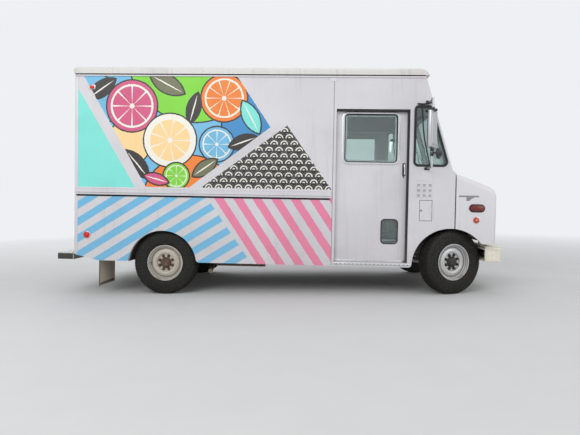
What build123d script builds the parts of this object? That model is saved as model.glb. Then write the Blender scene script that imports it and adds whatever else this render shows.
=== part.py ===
from build123d import *
from math import atan2, cos, degrees, radians, sin
import os

# A walk-in step van turned into a food truck: a flat-sided aluminium body on a
# ladder frame, sliding cab doors, a one-piece nose that tips forward, a pair of
# rear doors and a lift-up serving hatch on the left.
#
# Everything is modelled level, in millimetres, with x forward from the rear axle,
# y to the left and z up from the road under the rear wheels. The finished pieces
# are then leaned by the nose-down rake and moved so that the origin lies on the
# road under the middle of the vehicle.

# Stance and wheels
HALF_W = 1040.0
WHEELBASE = 3378.0
RAKE = 1.46
PARKED_STEER = 22.0
TYRE_R = 376.0
TYRE_HALF_W = 104.0
RIM_R = 214.0
WHEEL_Y = HALF_W - 142
KINGPIN_Y = WHEEL_Y - 50
RUN_GAP = 0.05
SEAT_GAP = 0.3
LEAN = radians(RAKE)
FRONT_X = WHEELBASE * cos(LEAN)
FRONT_Z = TYRE_R + WHEELBASE * sin(LEAN)

# Body shell
WALL = 45.0
BODY_REAR = -1090.0
SKIRT_Z = 395.0
TAIL_RISE = 68.0
TAIL_RUN = 290.0
ROOF_SEAT = 2620.0
ROOF_H = 86.0
ROOF_OVER = 12.0
ROOF_WALL = 30.0
COWL_X = FRONT_X + 28
COWL_Z = 1506.0
SCREEN_FOOT_X = COWL_X - 34
SCREEN_FOOT_Z = 1530.0
SCREEN_LEAN = 16.9
NOSE_SEAM = 14.0
BELT_Z = 1185.0
BELT_H = 90.0
BELT_T = 20.0

# Wheel arches
REAR_ARCH_R = 414.0
FRONT_ARCH_R = 446.0
ARCH_FOOT_R = 40.0

# Cab doors
DOORWAY_X = COWL_X - 1383
DOORWAY_L = 850.0
DOORWAY_Z = 445.0
DOORWAY_TOP = 2228.0
DOOR_T = 32.0
DOOR_GAP = 8.0
DOOR_LAP = 20.0
DOOR_TRAVEL = 800.0
DOOR_WINDOW_W = 611.0
DOOR_WINDOW_H = 556.0
CURB_WINDOW_W = 188.0
CURB_WINDOW_H = 281.0
GLASS_T = 6.0

# Rear doors and serving hatch
REAR_OPEN_HALF = HALF_W - 240
REAR_OPEN_Z = 722.0
REAR_OPEN_TOP = 2380.0
PANEL_GAP = 6.0
HINGE_R = 11.0
HINGE_OUT = 14.0
HATCH_X = -550.0
HATCH_L = 1600.0
HATCH_Z = 1560.0
HATCH_H = 740.0

# Floor and frame
FLOOR_Z = 700.0
FLOOR_T = 50.0
SHEET = 20.0
RAIL_H = 150.0
RAIL_W = 65.0
RAIL_WEB = 8.0
RAIL_Z = 480.0

# Wheel housings
WELL_IN = WHEEL_Y - 388
RAIL_Y = WELL_IN - 80
WELL_X = (-470.0, 430.0)
WELL_TOP = 832.0
HOUSING_IN = WELL_IN + 15
HOUSING_X = COWL_X - 500
HOUSING_FOOT = 510.0

# Nose
NOSE_FRONT = COWL_X + 485
NOSE_Z = 690.0
NOSE_WALL = 22.0
NOSE_EDGE_R = 60.0
NOSE_BROW_R = 150.0
NOSE_DROP = 20.7

# Bumpers and the nose hinge above the front one
NOSE_HINGE = (NOSE_FRONT - 50, NOSE_Z + 40)
NOSE_PIN_R = 10.0
NOSE_EAR_Y = HALF_W - 430
NOSE_EAR_T = 20.0
BUMPER_Z = 480.0
BUMPER_H = 175.0
BUMPER_FRONT = NOSE_FRONT + 85
BUMPER_HALF_W = HALF_W - 80
BUMPER_BACK = NOSE_FRONT - 98
STEP_Z = 400.0
STEP_H = 75.0
STEP_BACK = -1290.0

# Worked out from the above
INNER_Y = HALF_W - WALL
SCREEN_TAN = sin(radians(SCREEN_LEAN)) / cos(radians(SCREEN_LEAN))
ROOF_FRONT = SCREEN_FOOT_X - (ROOF_SEAT - SCREEN_FOOT_Z) * SCREEN_TAN
REAR_ARCH = (-20.0, TYRE_R - 24.0)
FRONT_ARCH = (FRONT_X - 8.0, FRONT_Z - 50.0)
DOOR_OUT_Y = INNER_Y - DOOR_GAP
DOOR_IN_Y = DOOR_OUT_Y - DOOR_T
NOSE_BACK = COWL_X + NOSE_SEAM


def leaned(x, z):
    """Where a point of the level model stands once the body is leaned, before it is centred."""
    up = z - TYRE_R
    return x * cos(LEAN) + up * sin(LEAN), TYRE_R - x * sin(LEAN) + up * cos(LEAN)


BACK_END = min(leaned(STEP_BACK, z)[0] for z in (STEP_Z, STEP_Z + STEP_H))
FRONT_END = max(leaned(BUMPER_FRONT, z)[0] for z in (BUMPER_Z, BUMPER_Z + BUMPER_H))
MIDDLE_X = (BACK_END + FRONT_END) / 2
STANCE = Pos(-MIDDLE_X, 0, TYRE_R) * Rot(0, RAKE, 0) * Pos(0, 0, -TYRE_R)

os.makedirs("parts", exist_ok=True)


def write(piece, name, place=STANCE):
    """Puts a finished piece in its place, labels it and writes its STEP file."""
    placed = piece.part.moved(place)
    placed.label = name
    export_step(placed, f"parts/{name}.step")


def slab(y_a, y_b):
    """The upright plane at the left of two y values, and the depth between them."""
    return Plane.XZ.offset(-max(y_a, y_b)), abs(y_a - y_b)


def rectangle(x_a, z_a, x_b, z_b, corner=0.0, mode=Mode.ADD):
    """A rectangle between two corners on an upright sketch, with rounded corners if asked."""
    with Locations(((x_a + x_b) / 2, (z_a + z_b) / 2)):
        if corner:
            RectangleRounded(abs(x_b - x_a), abs(z_b - z_a), corner, mode=mode)
        else:
            Rectangle(abs(x_b - x_a), abs(z_b - z_a), mode=mode)


def block(x_a, y_a, z_a, x_b, y_b, z_b, mode=Mode.ADD):
    """A box between two opposite corners."""
    with Locations(((x_a + x_b) / 2, (y_a + y_b) / 2, (z_a + z_b) / 2)):
        Box(abs(x_b - x_a), abs(y_b - y_a), abs(z_b - z_a), mode=mode)


def rod(x, y, z, radius, length, axis, mode=Mode.ADD):
    """A cylinder centred on a point, with its axis along x, y or z."""
    turn = {"x": (0, 90, 0), "y": (90, 0, 0), "z": (0, 0, 0)}[axis]
    with Locations(Location((x, y, z), turn)):
        Cylinder(radius, length, mode=mode)


# Side walls: one flat panel from the tail to the cowl on each side, with its
# doorway, quarter window and wheel arches.

QUARTER_BACK = COWL_X - 477
QUARTER_Z = 1582.0
QUARTER_TOP = 2268.0
PILLAR_W = 36.0
QUARTER_R = 45.0
RAIL_LEDGE = 20.0
DOOR_FOOT = SKIRT_Z + RAIL_LEDGE + SEAT_GAP
BELT_END = DOORWAY_X - 62
FILLER_X = COWL_X - 407
FILLER_W = 149.0
FILLER_Z = 940.0
FILLER_H = 244.0
FILLER_DEPTH = 38.0
FILLER_DOOR_T = 12.0
FILLER_PIN_R = 6.0
FILLER_HINGE = 50.0
FILLER_AXIS_Y = -HALF_W - 8


def screen_x(z):
    """The x of the sloping cab front at a height."""
    return SCREEN_FOOT_X - (z - SCREEN_FOOT_Z) * SCREEN_TAN


def quarter_sketch(plane, inset=0.0):
    """The outline of the quarter window, with its rounded corners."""
    with BuildSketch(plane) as window:
        with BuildLine():
            Polyline(
                (QUARTER_BACK + inset, QUARTER_Z + inset),
                (screen_x(QUARTER_Z) - PILLAR_W - inset, QUARTER_Z + inset),
                (screen_x(QUARTER_TOP) - PILLAR_W - inset, QUARTER_TOP - inset),
                (QUARTER_BACK + inset, QUARTER_TOP - inset),
                close=True,
            )
        make_face()
        fillet(window.vertices(), QUARTER_R - inset)
    return window


def side_wall(side):
    """A body side. side is 1 for the left and -1 for the right."""
    plane, depth = slab(side * INNER_Y, side * HALF_W)
    with BuildPart() as wall:
        with BuildSketch(plane) as outline:
            with BuildLine():
                Polyline(
                    (BODY_REAR, SKIRT_Z + TAIL_RISE),
                    (BODY_REAR + TAIL_RUN, SKIRT_Z),
                    (COWL_X, SKIRT_Z),
                    (COWL_X, COWL_Z),
                    (SCREEN_FOOT_X, SCREEN_FOOT_Z),
                    (ROOF_FRONT, ROOF_SEAT),
                    (BODY_REAR, ROOF_SEAT),
                    close=True,
                )
            make_face()
            with Locations(REAR_ARCH):
                Circle(REAR_ARCH_R, mode=Mode.SUBTRACT)
            with Locations(FRONT_ARCH):
                Circle(FRONT_ARCH_R, mode=Mode.SUBTRACT)
            feet = outline.vertices().filter_by(
                lambda v: abs(v.Y - SKIRT_Z) < 1 and v.X > BODY_REAR + TAIL_RUN + 1
            )
            fillet(feet, ARCH_FOOT_R)
            rectangle(
                DOORWAY_X, DOORWAY_Z, DOORWAY_X + DOORWAY_L, DOORWAY_TOP,
                mode=Mode.SUBTRACT,
            )
            if side > 0:
                rectangle(
                    HATCH_X, HATCH_Z, HATCH_X + HATCH_L, HATCH_Z + HATCH_H,
                    mode=Mode.SUBTRACT,
                )
        extrude(amount=depth)
        if side < 0:
            # The pocket of the fuel filler with its cap, and the barrels of its door
            block(
                FILLER_X, -HALF_W + FILLER_DEPTH, FILLER_Z, FILLER_X + FILLER_W, -HALF_W - 1,
                FILLER_Z + FILLER_H, mode=Mode.SUBTRACT,
            )
            rod(
                FILLER_X + FILLER_W / 2, -HALF_W + FILLER_DEPTH - 7, FILLER_Z + FILLER_H / 2,
                36, 18, "y",
            )
            for share in (-1, 1):
                barrel_z = FILLER_Z + FILLER_H / 2 + share * FILLER_HINGE
                rod(
                    FILLER_X + FILLER_W, FILLER_AXIS_Y, barrel_z, FILLER_PIN_R,
                    FILLER_HINGE - 1, "z",
                )
                block(
                    FILLER_X + FILLER_W, -HALF_W, barrel_z - FILLER_HINGE / 2 + 0.5,
                    FILLER_X + FILLER_W + FILLER_PIN_R, FILLER_AXIS_Y,
                    barrel_z + FILLER_HINGE / 2 - 0.5,
                )
        extrude(quarter_sketch(plane).sketch, amount=depth, mode=Mode.SUBTRACT)
        # The rub rail along the belt
        block(
            BODY_REAR + 20, side * (HALF_W - 5), BELT_Z, BELT_END, side * (HALF_W + BELT_T),
            BELT_Z + BELT_H,
        )
        fillet(
            wall.edges().filter_by(
                lambda e: abs(abs(e.center().Y) - HALF_W - BELT_T) < 0.5 and e.length > BELT_H - 1
            ),
            5,
        )
        if side > 0:
            for share in (0.1, 0.5, 0.9):
                hinge_x = HATCH_X + HATCH_L * share
                rod(
                    hinge_x - HATCH_HINGE, HATCH_AXIS_Y, HATCH_AXIS_Z, HINGE_R,
                    HATCH_HINGE - 1, "x",
                )
                block(
                    hinge_x - HATCH_HINGE * 1.5 + 0.5, HALF_W, HATCH_AXIS_Z,
                    hinge_x - HATCH_HINGE / 2 - 0.5, HATCH_AXIS_Y, HATCH_AXIS_Z + HINGE_R,
                )
    return wall


HATCH_AXIS_Y = HALF_W + HINGE_OUT
HATCH_AXIS_Z = HATCH_Z + HATCH_H + PANEL_GAP
HATCH_HINGE = 120.0

write(side_wall(-1), "side_wall_right")
write(side_wall(1), "side_wall_left")

# Sliding-door rails: on each side the ledge that the door runs on, and the
# channel over its head, both against the wall.

with BuildPart() as door_rails:
    rail_x = DOORWAY_X - DOOR_LAP - DOOR_TRAVEL
    rail_end = DOORWAY_X + DOORWAY_L + DOOR_LAP
    head = DOORWAY_TOP + DOOR_LAP + SEAT_GAP
    for side in (1, -1):
        for low, high in ((SKIRT_Z, SKIRT_Z + RAIL_LEDGE), (head, head + 30)):
            block(rail_x, side * (DOOR_IN_Y - 5), low, rail_end, side * INNER_Y, high)

write(door_rails, "door_rails")


# Fuel door: a small flap flush in the right wall, hinged on its front edge.

with BuildPart() as fuel_door:
    block(
        FILLER_X + PANEL_GAP, -HALF_W, FILLER_Z + PANEL_GAP,
        FILLER_X + FILLER_W - PANEL_GAP, -HALF_W + FILLER_DOOR_T,
        FILLER_Z + FILLER_H - PANEL_GAP,
    )
    rod(
        FILLER_X + FILLER_W, FILLER_AXIS_Y, FILLER_Z + FILLER_H / 2, FILLER_PIN_R,
        FILLER_HINGE - 1, "z",
    )
    block(
        FILLER_X + FILLER_W - 30, -HALF_W, FILLER_Z + FILLER_H / 2 - FILLER_HINGE / 2 + 0.5,
        FILLER_X + FILLER_W, -HALF_W - FILLER_PIN_R / 2,
        FILLER_Z + FILLER_H / 2 + FILLER_HINGE / 2 - 0.5,
    )
write(fuel_door, "fuel_door")


# Serving hatch: a panel flush in the left wall that lifts about its top edge.

with BuildPart() as hatch:
    hatch_plane, hatch_depth = slab(INNER_Y, HALF_W)
    with BuildSketch(hatch_plane):
        rectangle(
            HATCH_X + PANEL_GAP, HATCH_Z + PANEL_GAP,
            HATCH_X + HATCH_L - PANEL_GAP, HATCH_Z + HATCH_H - PANEL_GAP,
        )
    extrude(amount=hatch_depth)
    for share in (0.1, 0.5, 0.9):
        hatch_hinge_x = HATCH_X + HATCH_L * share
        rod(hatch_hinge_x, HATCH_AXIS_Y, HATCH_AXIS_Z, HINGE_R, HATCH_HINGE - 1, "x")
        block(
            hatch_hinge_x - HATCH_HINGE / 2 + 0.5, HALF_W, HATCH_AXIS_Z - 70,
            hatch_hinge_x + HATCH_HINGE / 2 - 0.5, HALF_W + HINGE_R / 2, HATCH_AXIS_Z,
        )
write(hatch, "serving_hatch")


# Roof: a shallow cap with rounded edges that sits over the walls.

with BuildPart() as roof:
    roof_top = ROOF_SEAT + ROOF_H
    roof_nose = ROOF_FRONT + 46
    with BuildSketch(Plane.XZ) as cap:
        with BuildLine():
            back = Line((BODY_REAR - ROOF_OVER, ROOF_SEAT), (BODY_REAR - ROOF_OVER, roof_top))
            top = Line(back @ 1, (roof_nose - 150, roof_top))
            brow = ThreePointArc(
                top @ 1, (roof_nose - 44, roof_top - 22), (roof_nose, ROOF_SEAT + 14)
            )
            chin = Line(brow @ 1, (roof_nose, ROOF_SEAT))
            Line(chin @ 1, back @ 0)
        make_face()
    extrude(amount=HALF_W + ROOF_OVER, both=True)
    fillet(
        roof.edges().filter_by(
            lambda e: e.center().Z > ROOF_SEAT + 40
            and (abs(e.center().Y) > HALF_W or e.center().X < BODY_REAR)
            and e.length > ROOF_H + 5
        ),
        48,
    )
    block(
        BODY_REAR + WALL, -INNER_Y, ROOF_SEAT, ROOF_FRONT - WALL, INNER_Y,
        roof_top - ROOF_WALL, mode=Mode.SUBTRACT,
    )
write(roof, "roof")


# Cab front: sloping screen frame, cowl and firewall in one folded panel.

SCREEN_PLANE = Plane(
    origin=(SCREEN_FOOT_X, 0, SCREEN_FOOT_Z),
    x_dir=(0, 1, 0),
    z_dir=(cos(radians(SCREEN_LEAN)), 0, sin(radians(SCREEN_LEAN))),
)
SCREEN_PANE_W = INNER_Y - 115
SCREEN_PANE_Y = (SCREEN_PANE_W + 60) / 2
SCREEN_PANE_V = 400.0
SCREEN_PANE_H = 640.0
SCREEN_R = 60.0
FIREWALL_Z = FRONT_ARCH[1] + FRONT_ARCH_R + SHEET
TUNNEL_HALF = 360.0
TUNNEL_TOP = 1130.0


def screen_panes(inset=0.0):
    """The two windscreen openings, drawn on the sloping plane."""
    with BuildSketch(SCREEN_PLANE) as panes:
        with Locations(*[(s * SCREEN_PANE_Y, SCREEN_PANE_V) for s in (-1, 1)]):
            RectangleRounded(
                SCREEN_PANE_W - 2 * inset, SCREEN_PANE_H - 2 * inset, SCREEN_R - inset
            )
    return panes


with BuildPart() as cab_front:
    with BuildSketch(Plane.XZ):
        with BuildLine():
            Polyline(
                (ROOF_FRONT, ROOF_SEAT),
                (SCREEN_FOOT_X, SCREEN_FOOT_Z),
                (COWL_X, COWL_Z),
                (COWL_X, FLOOR_Z - FLOOR_T),
                (COWL_X - WALL, FLOOR_Z - FLOOR_T),
                (COWL_X - WALL, COWL_Z - 40),
                (SCREEN_FOOT_X - WALL, SCREEN_FOOT_Z - 20),
                (ROOF_FRONT - WALL, ROOF_SEAT),
                close=True,
            )
        make_face()
    extrude(amount=INNER_Y, both=True)
    extrude(screen_panes().sketch, amount=2 * WALL, both=True, mode=Mode.SUBTRACT)
    block(
        COWL_X - 2 * WALL, -TUNNEL_HALF, FLOOR_Z - FLOOR_T - 1, COWL_X + WALL,
        TUNNEL_HALF, TUNNEL_TOP, mode=Mode.SUBTRACT,
    )
    for side in (-1, 1):
        block(
            COWL_X - 2 * WALL, side * HOUSING_IN,
            FLOOR_Z - FLOOR_T - 1, COWL_X + WALL, side * (HALF_W + 1),
            FIREWALL_Z, mode=Mode.SUBTRACT,
        )
write(cab_front, "cab_front")


# Tail: the frame around the rear doorway, and the two doors.

REAR_DOOR_T = 40.0
REAR_HINGE_X = BODY_REAR - HINGE_OUT
REAR_HINGE_Y = REAR_OPEN_HALF + PANEL_GAP
REAR_HINGE_L = 110.0
REAR_HINGE_SHARES = (0.12, 0.5, 0.88)
REAR_GLASS_Z = 1500.0
REAR_GLASS_TOP = 2080.0
REAR_GLASS_EDGE = 170.0

with BuildPart() as rear_frame:
    block(BODY_REAR, -INNER_Y, SKIRT_Z + TAIL_RISE + 12, BODY_REAR + WALL, INNER_Y, ROOF_SEAT)
    block(
        BODY_REAR - 1, -REAR_OPEN_HALF, REAR_OPEN_Z, BODY_REAR + WALL + 1, REAR_OPEN_HALF,
        REAR_OPEN_TOP, mode=Mode.SUBTRACT,
    )
    for side in (-1, 1):
        for share in REAR_HINGE_SHARES:
            hinge_z = REAR_OPEN_Z + share * (REAR_OPEN_TOP - REAR_OPEN_Z)
            block(
                REAR_HINGE_X, side * REAR_HINGE_Y, hinge_z - REAR_HINGE_L * 1.5 + 0.5,
                BODY_REAR, side * (REAR_HINGE_Y + 60), hinge_z - REAR_HINGE_L / 2 - 0.5,
            )
            rod(
                REAR_HINGE_X, side * REAR_HINGE_Y, hinge_z - REAR_HINGE_L, HINGE_R,
                REAR_HINGE_L - 1, "z",
            )
write(rear_frame, "rear_frame")


def rear_door(side):
    """One of the two hinged doors that fill the rear doorway."""
    with BuildPart() as door:
        block(
            BODY_REAR, side * PANEL_GAP / 2, REAR_OPEN_Z + PANEL_GAP,
            BODY_REAR + REAR_DOOR_T, side * (REAR_OPEN_HALF - PANEL_GAP),
            REAR_OPEN_TOP - PANEL_GAP,
        )
        block(
            BODY_REAR - 1, side * REAR_GLASS_EDGE, REAR_GLASS_Z, BODY_REAR + REAR_DOOR_T + 1,
            side * (REAR_OPEN_HALF - REAR_GLASS_EDGE), REAR_GLASS_TOP, mode=Mode.SUBTRACT,
        )
        for share in REAR_HINGE_SHARES:
            pin_z = REAR_OPEN_Z + share * (REAR_OPEN_TOP - REAR_OPEN_Z)
            rod(REAR_HINGE_X, side * REAR_HINGE_Y, pin_z, HINGE_R, REAR_HINGE_L - 1, "z")
            block(
                REAR_HINGE_X - 5, side * REAR_HINGE_Y, pin_z - REAR_HINGE_L / 2 + 0.5,
                REAR_HINGE_X + 5, side * (REAR_OPEN_HALF - 40),
                pin_z + REAR_HINGE_L / 2 - 0.5,
            )
            block(
                REAR_HINGE_X, side * (REAR_OPEN_HALF - PANEL_GAP),
                pin_z - REAR_HINGE_L / 2 + 0.5, BODY_REAR, side * (REAR_OPEN_HALF - 40),
                pin_z + REAR_HINGE_L / 2 - 0.5,
            )
    return door


def rear_glass(side):
    """The pane of a rear door."""
    with BuildPart() as pane:
        block(
            BODY_REAR + 17, side * (REAR_GLASS_EDGE + SEAT_GAP), REAR_GLASS_Z + SEAT_GAP,
            BODY_REAR + 17 + GLASS_T, side * (REAR_OPEN_HALF - REAR_GLASS_EDGE - SEAT_GAP),
            REAR_GLASS_TOP - SEAT_GAP,
        )
    return pane


write(rear_door(1), "rear_door_left")
write(rear_door(-1), "rear_door_right")
write(rear_glass(1), "rear_door_glass_left")
write(rear_glass(-1), "rear_door_glass_right")


# Sliding cab doors, each with a tall pane and a low curb window.

DOOR_WINDOW = (DOORWAY_X + 410, 1898.0)
CURB_WINDOW = (DOORWAY_X + 644, 808.0)


def sliding_door(side):
    """A sliding cab door hanging inside the body side."""
    plane, depth = slab(side * DOOR_IN_Y, side * DOOR_OUT_Y)
    with BuildPart() as door:
        with BuildSketch(plane):
            rectangle(
                DOORWAY_X - DOOR_LAP, DOOR_FOOT, DOORWAY_X + DOORWAY_L + DOOR_LAP,
                DOORWAY_TOP + DOOR_LAP,
            )
            with Locations(DOOR_WINDOW):
                RectangleRounded(DOOR_WINDOW_W, DOOR_WINDOW_H, 40, mode=Mode.SUBTRACT)
            with Locations(CURB_WINDOW):
                RectangleRounded(CURB_WINDOW_W, CURB_WINDOW_H, 40, mode=Mode.SUBTRACT)
        extrude(amount=depth)
    return door


def sliding_glass(side):
    """The two panes of a sliding door."""
    middle = side * (DOOR_IN_Y + DOOR_OUT_Y) / 2
    plane, depth = slab(middle - GLASS_T / 2, middle + GLASS_T / 2)
    with BuildPart() as pane:
        with BuildSketch(plane):
            with Locations(DOOR_WINDOW):
                RectangleRounded(
                    DOOR_WINDOW_W - 2 * SEAT_GAP, DOOR_WINDOW_H - 2 * SEAT_GAP, 40 - SEAT_GAP
                )
            with Locations(CURB_WINDOW):
                RectangleRounded(
                    CURB_WINDOW_W - 2 * SEAT_GAP, CURB_WINDOW_H - 2 * SEAT_GAP, 40 - SEAT_GAP
                )
        extrude(amount=depth)
    return pane


write(sliding_door(-1), "sliding_door_right")
write(sliding_door(1), "sliding_door_left")
write(sliding_glass(-1), "sliding_door_glass_right")
write(sliding_glass(1), "sliding_door_glass_left")


# Fixed cab glass: both halves of the windscreen and the quarter panes.

with BuildPart() as cab_glass:
    with BuildSketch(SCREEN_PLANE.offset(-WALL / 2)):
        with Locations(*[(s * SCREEN_PANE_Y, SCREEN_PANE_V) for s in (-1, 1)]):
            RectangleRounded(
                SCREEN_PANE_W - 2 * SEAT_GAP, SCREEN_PANE_H - 2 * SEAT_GAP,
                SCREEN_R - SEAT_GAP,
            )
    extrude(amount=GLASS_T)
    for side in (-1, 1):
        quarter_middle = side * (INNER_Y + HALF_W) / 2
        quarter_plane, quarter_depth = slab(
            quarter_middle - GLASS_T / 2, quarter_middle + GLASS_T / 2
        )
        extrude(quarter_sketch(quarter_plane, SEAT_GAP).sketch, amount=quarter_depth)
write(cab_glass, "cab_glass")


# Floor: the deck with its rear wheel boxes, the cab step wells and the front
# wheel housings.

STEP_WELL_OUT = DOOR_IN_Y - 10
STEP_WELL_IN = STEP_WELL_OUT - 265
STEP_PLATE_Z = 415.0
HOUSING_TOP = FRONT_ARCH[1] + FRONT_ARCH_R
CAB_END = COWL_X - WALL

with BuildPart() as floor:
    floor_edge = DOORWAY_X - DOOR_LAP - DOOR_TRAVEL - 20
    block(
        BODY_REAR + WALL, -INNER_Y, FLOOR_Z - FLOOR_T, floor_edge, INNER_Y, FLOOR_Z,
    )
    block(
        floor_edge, -STEP_WELL_OUT, FLOOR_Z - FLOOR_T, HOUSING_X, STEP_WELL_OUT, FLOOR_Z,
    )
    block(HOUSING_X, -HOUSING_IN, FLOOR_Z - FLOOR_T, CAB_END, HOUSING_IN, FLOOR_Z)
    block(
        HOUSING_X + 45, -TUNNEL_HALF, FLOOR_Z - FLOOR_T - 1, COWL_X, TUNNEL_HALF,
        FLOOR_Z + 1, mode=Mode.SUBTRACT,
    )
    for side in (-1, 1):
        # Rear wheel box
        block(
            WELL_X[0], side * WELL_IN, FLOOR_Z - FLOOR_T, WELL_X[1], side * INNER_Y, WELL_TOP,
        )
        block(
            WELL_X[0] + SHEET, side * (WELL_IN + SHEET), FLOOR_Z - FLOOR_T - 1,
            WELL_X[1] - SHEET, side * (INNER_Y + 1), WELL_TOP - SHEET, mode=Mode.SUBTRACT,
        )
        # Cab step well
        block(
            DOORWAY_X - 10, side * STEP_WELL_IN, STEP_PLATE_Z,
            DOORWAY_X + DOORWAY_L + 12, side * STEP_WELL_OUT, FLOOR_Z,
        )
        block(
            DOORWAY_X + 10, side * (STEP_WELL_IN + SHEET), STEP_PLATE_Z + SHEET,
            DOORWAY_X + DOORWAY_L - 8, side * (STEP_WELL_OUT + 1), FLOOR_Z + 1,
            mode=Mode.SUBTRACT,
        )
        # Front wheel housing
        block(
            HOUSING_X, side * HOUSING_IN, HOUSING_FOOT, CAB_END, side * INNER_Y,
            HOUSING_TOP + SHEET,
        )
        block(
            HOUSING_X + SHEET, side * (HOUSING_IN + SHEET), HOUSING_FOOT - 1, CAB_END + 1,
            side * (INNER_Y + 1), HOUSING_TOP, mode=Mode.SUBTRACT,
        )
write(floor, "floor")


# Ladder frame

RAIL_TOP = RAIL_Z + RAIL_H
RAIL_BACK = BODY_REAR + WALL
SILL_XS = (-960.0, -560.0, 520.0, 1180.0, DOORWAY_X - 72)
CAB_SILL_X = DOORWAY_X + 818
CROSS_XS = (-960.0, -560.0, 620.0, 1600.0, DOORWAY_X + 428, BUMPER_BACK - 52)

with BuildPart() as frame_rails:
    for side in (-1, 1):
        block(RAIL_BACK, side * (RAIL_Y - RAIL_W), RAIL_Z, BUMPER_BACK, side * RAIL_Y, RAIL_TOP)
        block(
            RAIL_BACK - 1, side * (RAIL_Y - RAIL_W - 1), RAIL_Z + RAIL_WEB, BUMPER_BACK + 1,
            side * (RAIL_Y - RAIL_WEB), RAIL_TOP - RAIL_WEB, mode=Mode.SUBTRACT,
        )
write(frame_rails, "frame_rails")

with BuildPart() as cross_members:
    for cross_x in CROSS_XS:
        block(
            cross_x - 40, -RAIL_Y + RAIL_WEB, RAIL_TOP - 70, cross_x + 40,
            RAIL_Y - RAIL_WEB, RAIL_TOP - RAIL_WEB,
        )
    for sill_x in SILL_XS:
        block(
            sill_x - 30, -INNER_Y + 95, RAIL_TOP, sill_x + 30, INNER_Y - 95, FLOOR_Z - FLOOR_T
        )
    block(
        CAB_SILL_X - 30, -STEP_WELL_IN + 10, RAIL_TOP, CAB_SILL_X + 30,
        STEP_WELL_IN - 10, FLOOR_Z - FLOOR_T,
    )
write(cross_members, "cross_members")


# Axles: a dropped front beam and a rear axle with its differential, both on
# leaf springs that reach up to the underside of the rails.

PIN_R = 16.0
BOSS_R = 34.0
BOSS_H = 116.0
SPINDLE_R = 30.0
SPRING_Y = 398.0
SPRING_W = 60.0
SPRING_T = 34.0
HUB_GAP = 1.0


def spring(centre_x, seat_z, side, half_l):
    """A leaf spring pack between its axle seat and the rail."""
    eye_z = RAIL_Z - 22
    plane, depth = slab(side * SPRING_Y - SPRING_W / 2, side * SPRING_Y + SPRING_W / 2)
    with BuildPart() as pack:
        with BuildSketch(plane):
            with BuildLine():
                lower = ThreePointArc(
                    (centre_x - half_l, eye_z - SPRING_T / 2), (centre_x, seat_z),
                    (centre_x + half_l, eye_z - SPRING_T / 2),
                )
                front = Line(lower @ 1, (centre_x + half_l, eye_z + SPRING_T / 2))
                upper = ThreePointArc(
                    front @ 1, (centre_x, seat_z + SPRING_T),
                    (centre_x - half_l, eye_z + SPRING_T / 2),
                )
                Line(upper @ 1, lower @ 0)
            make_face()
            for end_x in (centre_x - half_l, centre_x + half_l):
                rectangle(end_x - 26, eye_z - 22, end_x + 26, RAIL_Z)
        extrude(amount=depth)
    return pack


with BuildPart() as front_axle:
    beam_top = FRONT_Z - 60
    beam_end = KINGPIN_Y - 208
    block(FRONT_X - 35, -beam_end, beam_top - 56, FRONT_X + 35, beam_end, beam_top)
    for side in (-1, 1):
        with BuildSketch(Plane.YZ.offset(FRONT_X - 35)):
            with BuildLine():
                Polyline(
                    (side * (beam_end - 30), beam_top), (side * (beam_end - 30), beam_top - 56),
                    (side * (beam_end + 10), beam_top - 56),
                    (side * (KINGPIN_Y - 70), FRONT_Z - 46),
                    (side * KINGPIN_Y, FRONT_Z - 46), (side * KINGPIN_Y, FRONT_Z + 10),
                    (side * (KINGPIN_Y - 90), FRONT_Z + 10),
                    close=True,
                )
            make_face()
        extrude(amount=70)
        with Locations(Location((FRONT_X, side * KINGPIN_Y, FRONT_Z), (0, -RAKE, 0))):
            Cylinder(BOSS_R, BOSS_H)
            Cylinder(PIN_R, BOSS_H + 80)
        add(spring(FRONT_X, beam_top - 2, side, 380))
write(front_axle, "front_axle")

with BuildPart() as rear_axle:
    rod(0, 0, TYRE_R, 52, 2 * (WHEEL_Y - 80), "y")
    rod(0, 0, TYRE_R, SPINDLE_R, 2 * (WHEEL_Y + 64), "y")
    with Locations((0, 0, TYRE_R)):
        Sphere(160)
    rod(130, 0, TYRE_R, 55, 120, "x")
    for side in (-1, 1):
        block(-60, side * (SPRING_Y - 30), TYRE_R, 60, side * (SPRING_Y + 30), TYRE_R + 56)
        add(spring(0, TYRE_R + 46, side, 560))
write(rear_axle, "rear_axle")


# Engine, gearbox and driveline

ENGINE_BACK = COWL_X - 415
ENGINE_FRONT = COWL_X + 295
ENGINE_TOP = 1040.0
GEARBOX_BACK = ENGINE_BACK - 430
GEARBOX_TAIL = (GEARBOX_BACK, 470.0)
PINION = (190.0, TYRE_R)

with BuildPart() as engine_block:
    block(ENGINE_BACK, -250, 520, ENGINE_FRONT, 250, ENGINE_TOP)
    block(GEARBOX_BACK, -130, 440, ENGINE_BACK + 1, 130, RAIL_TOP - 5)
    block(ENGINE_BACK + 60, -200, 492, ENGINE_FRONT - 120, 200, 521)
    for side in (-1, 1):
        block(
            ENGINE_BACK + 260, side * 249, 560, ENGINE_BACK + 410,
            side * (RAIL_Y - RAIL_WEB), 600,
        )
write(engine_block, "engine_block")

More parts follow.
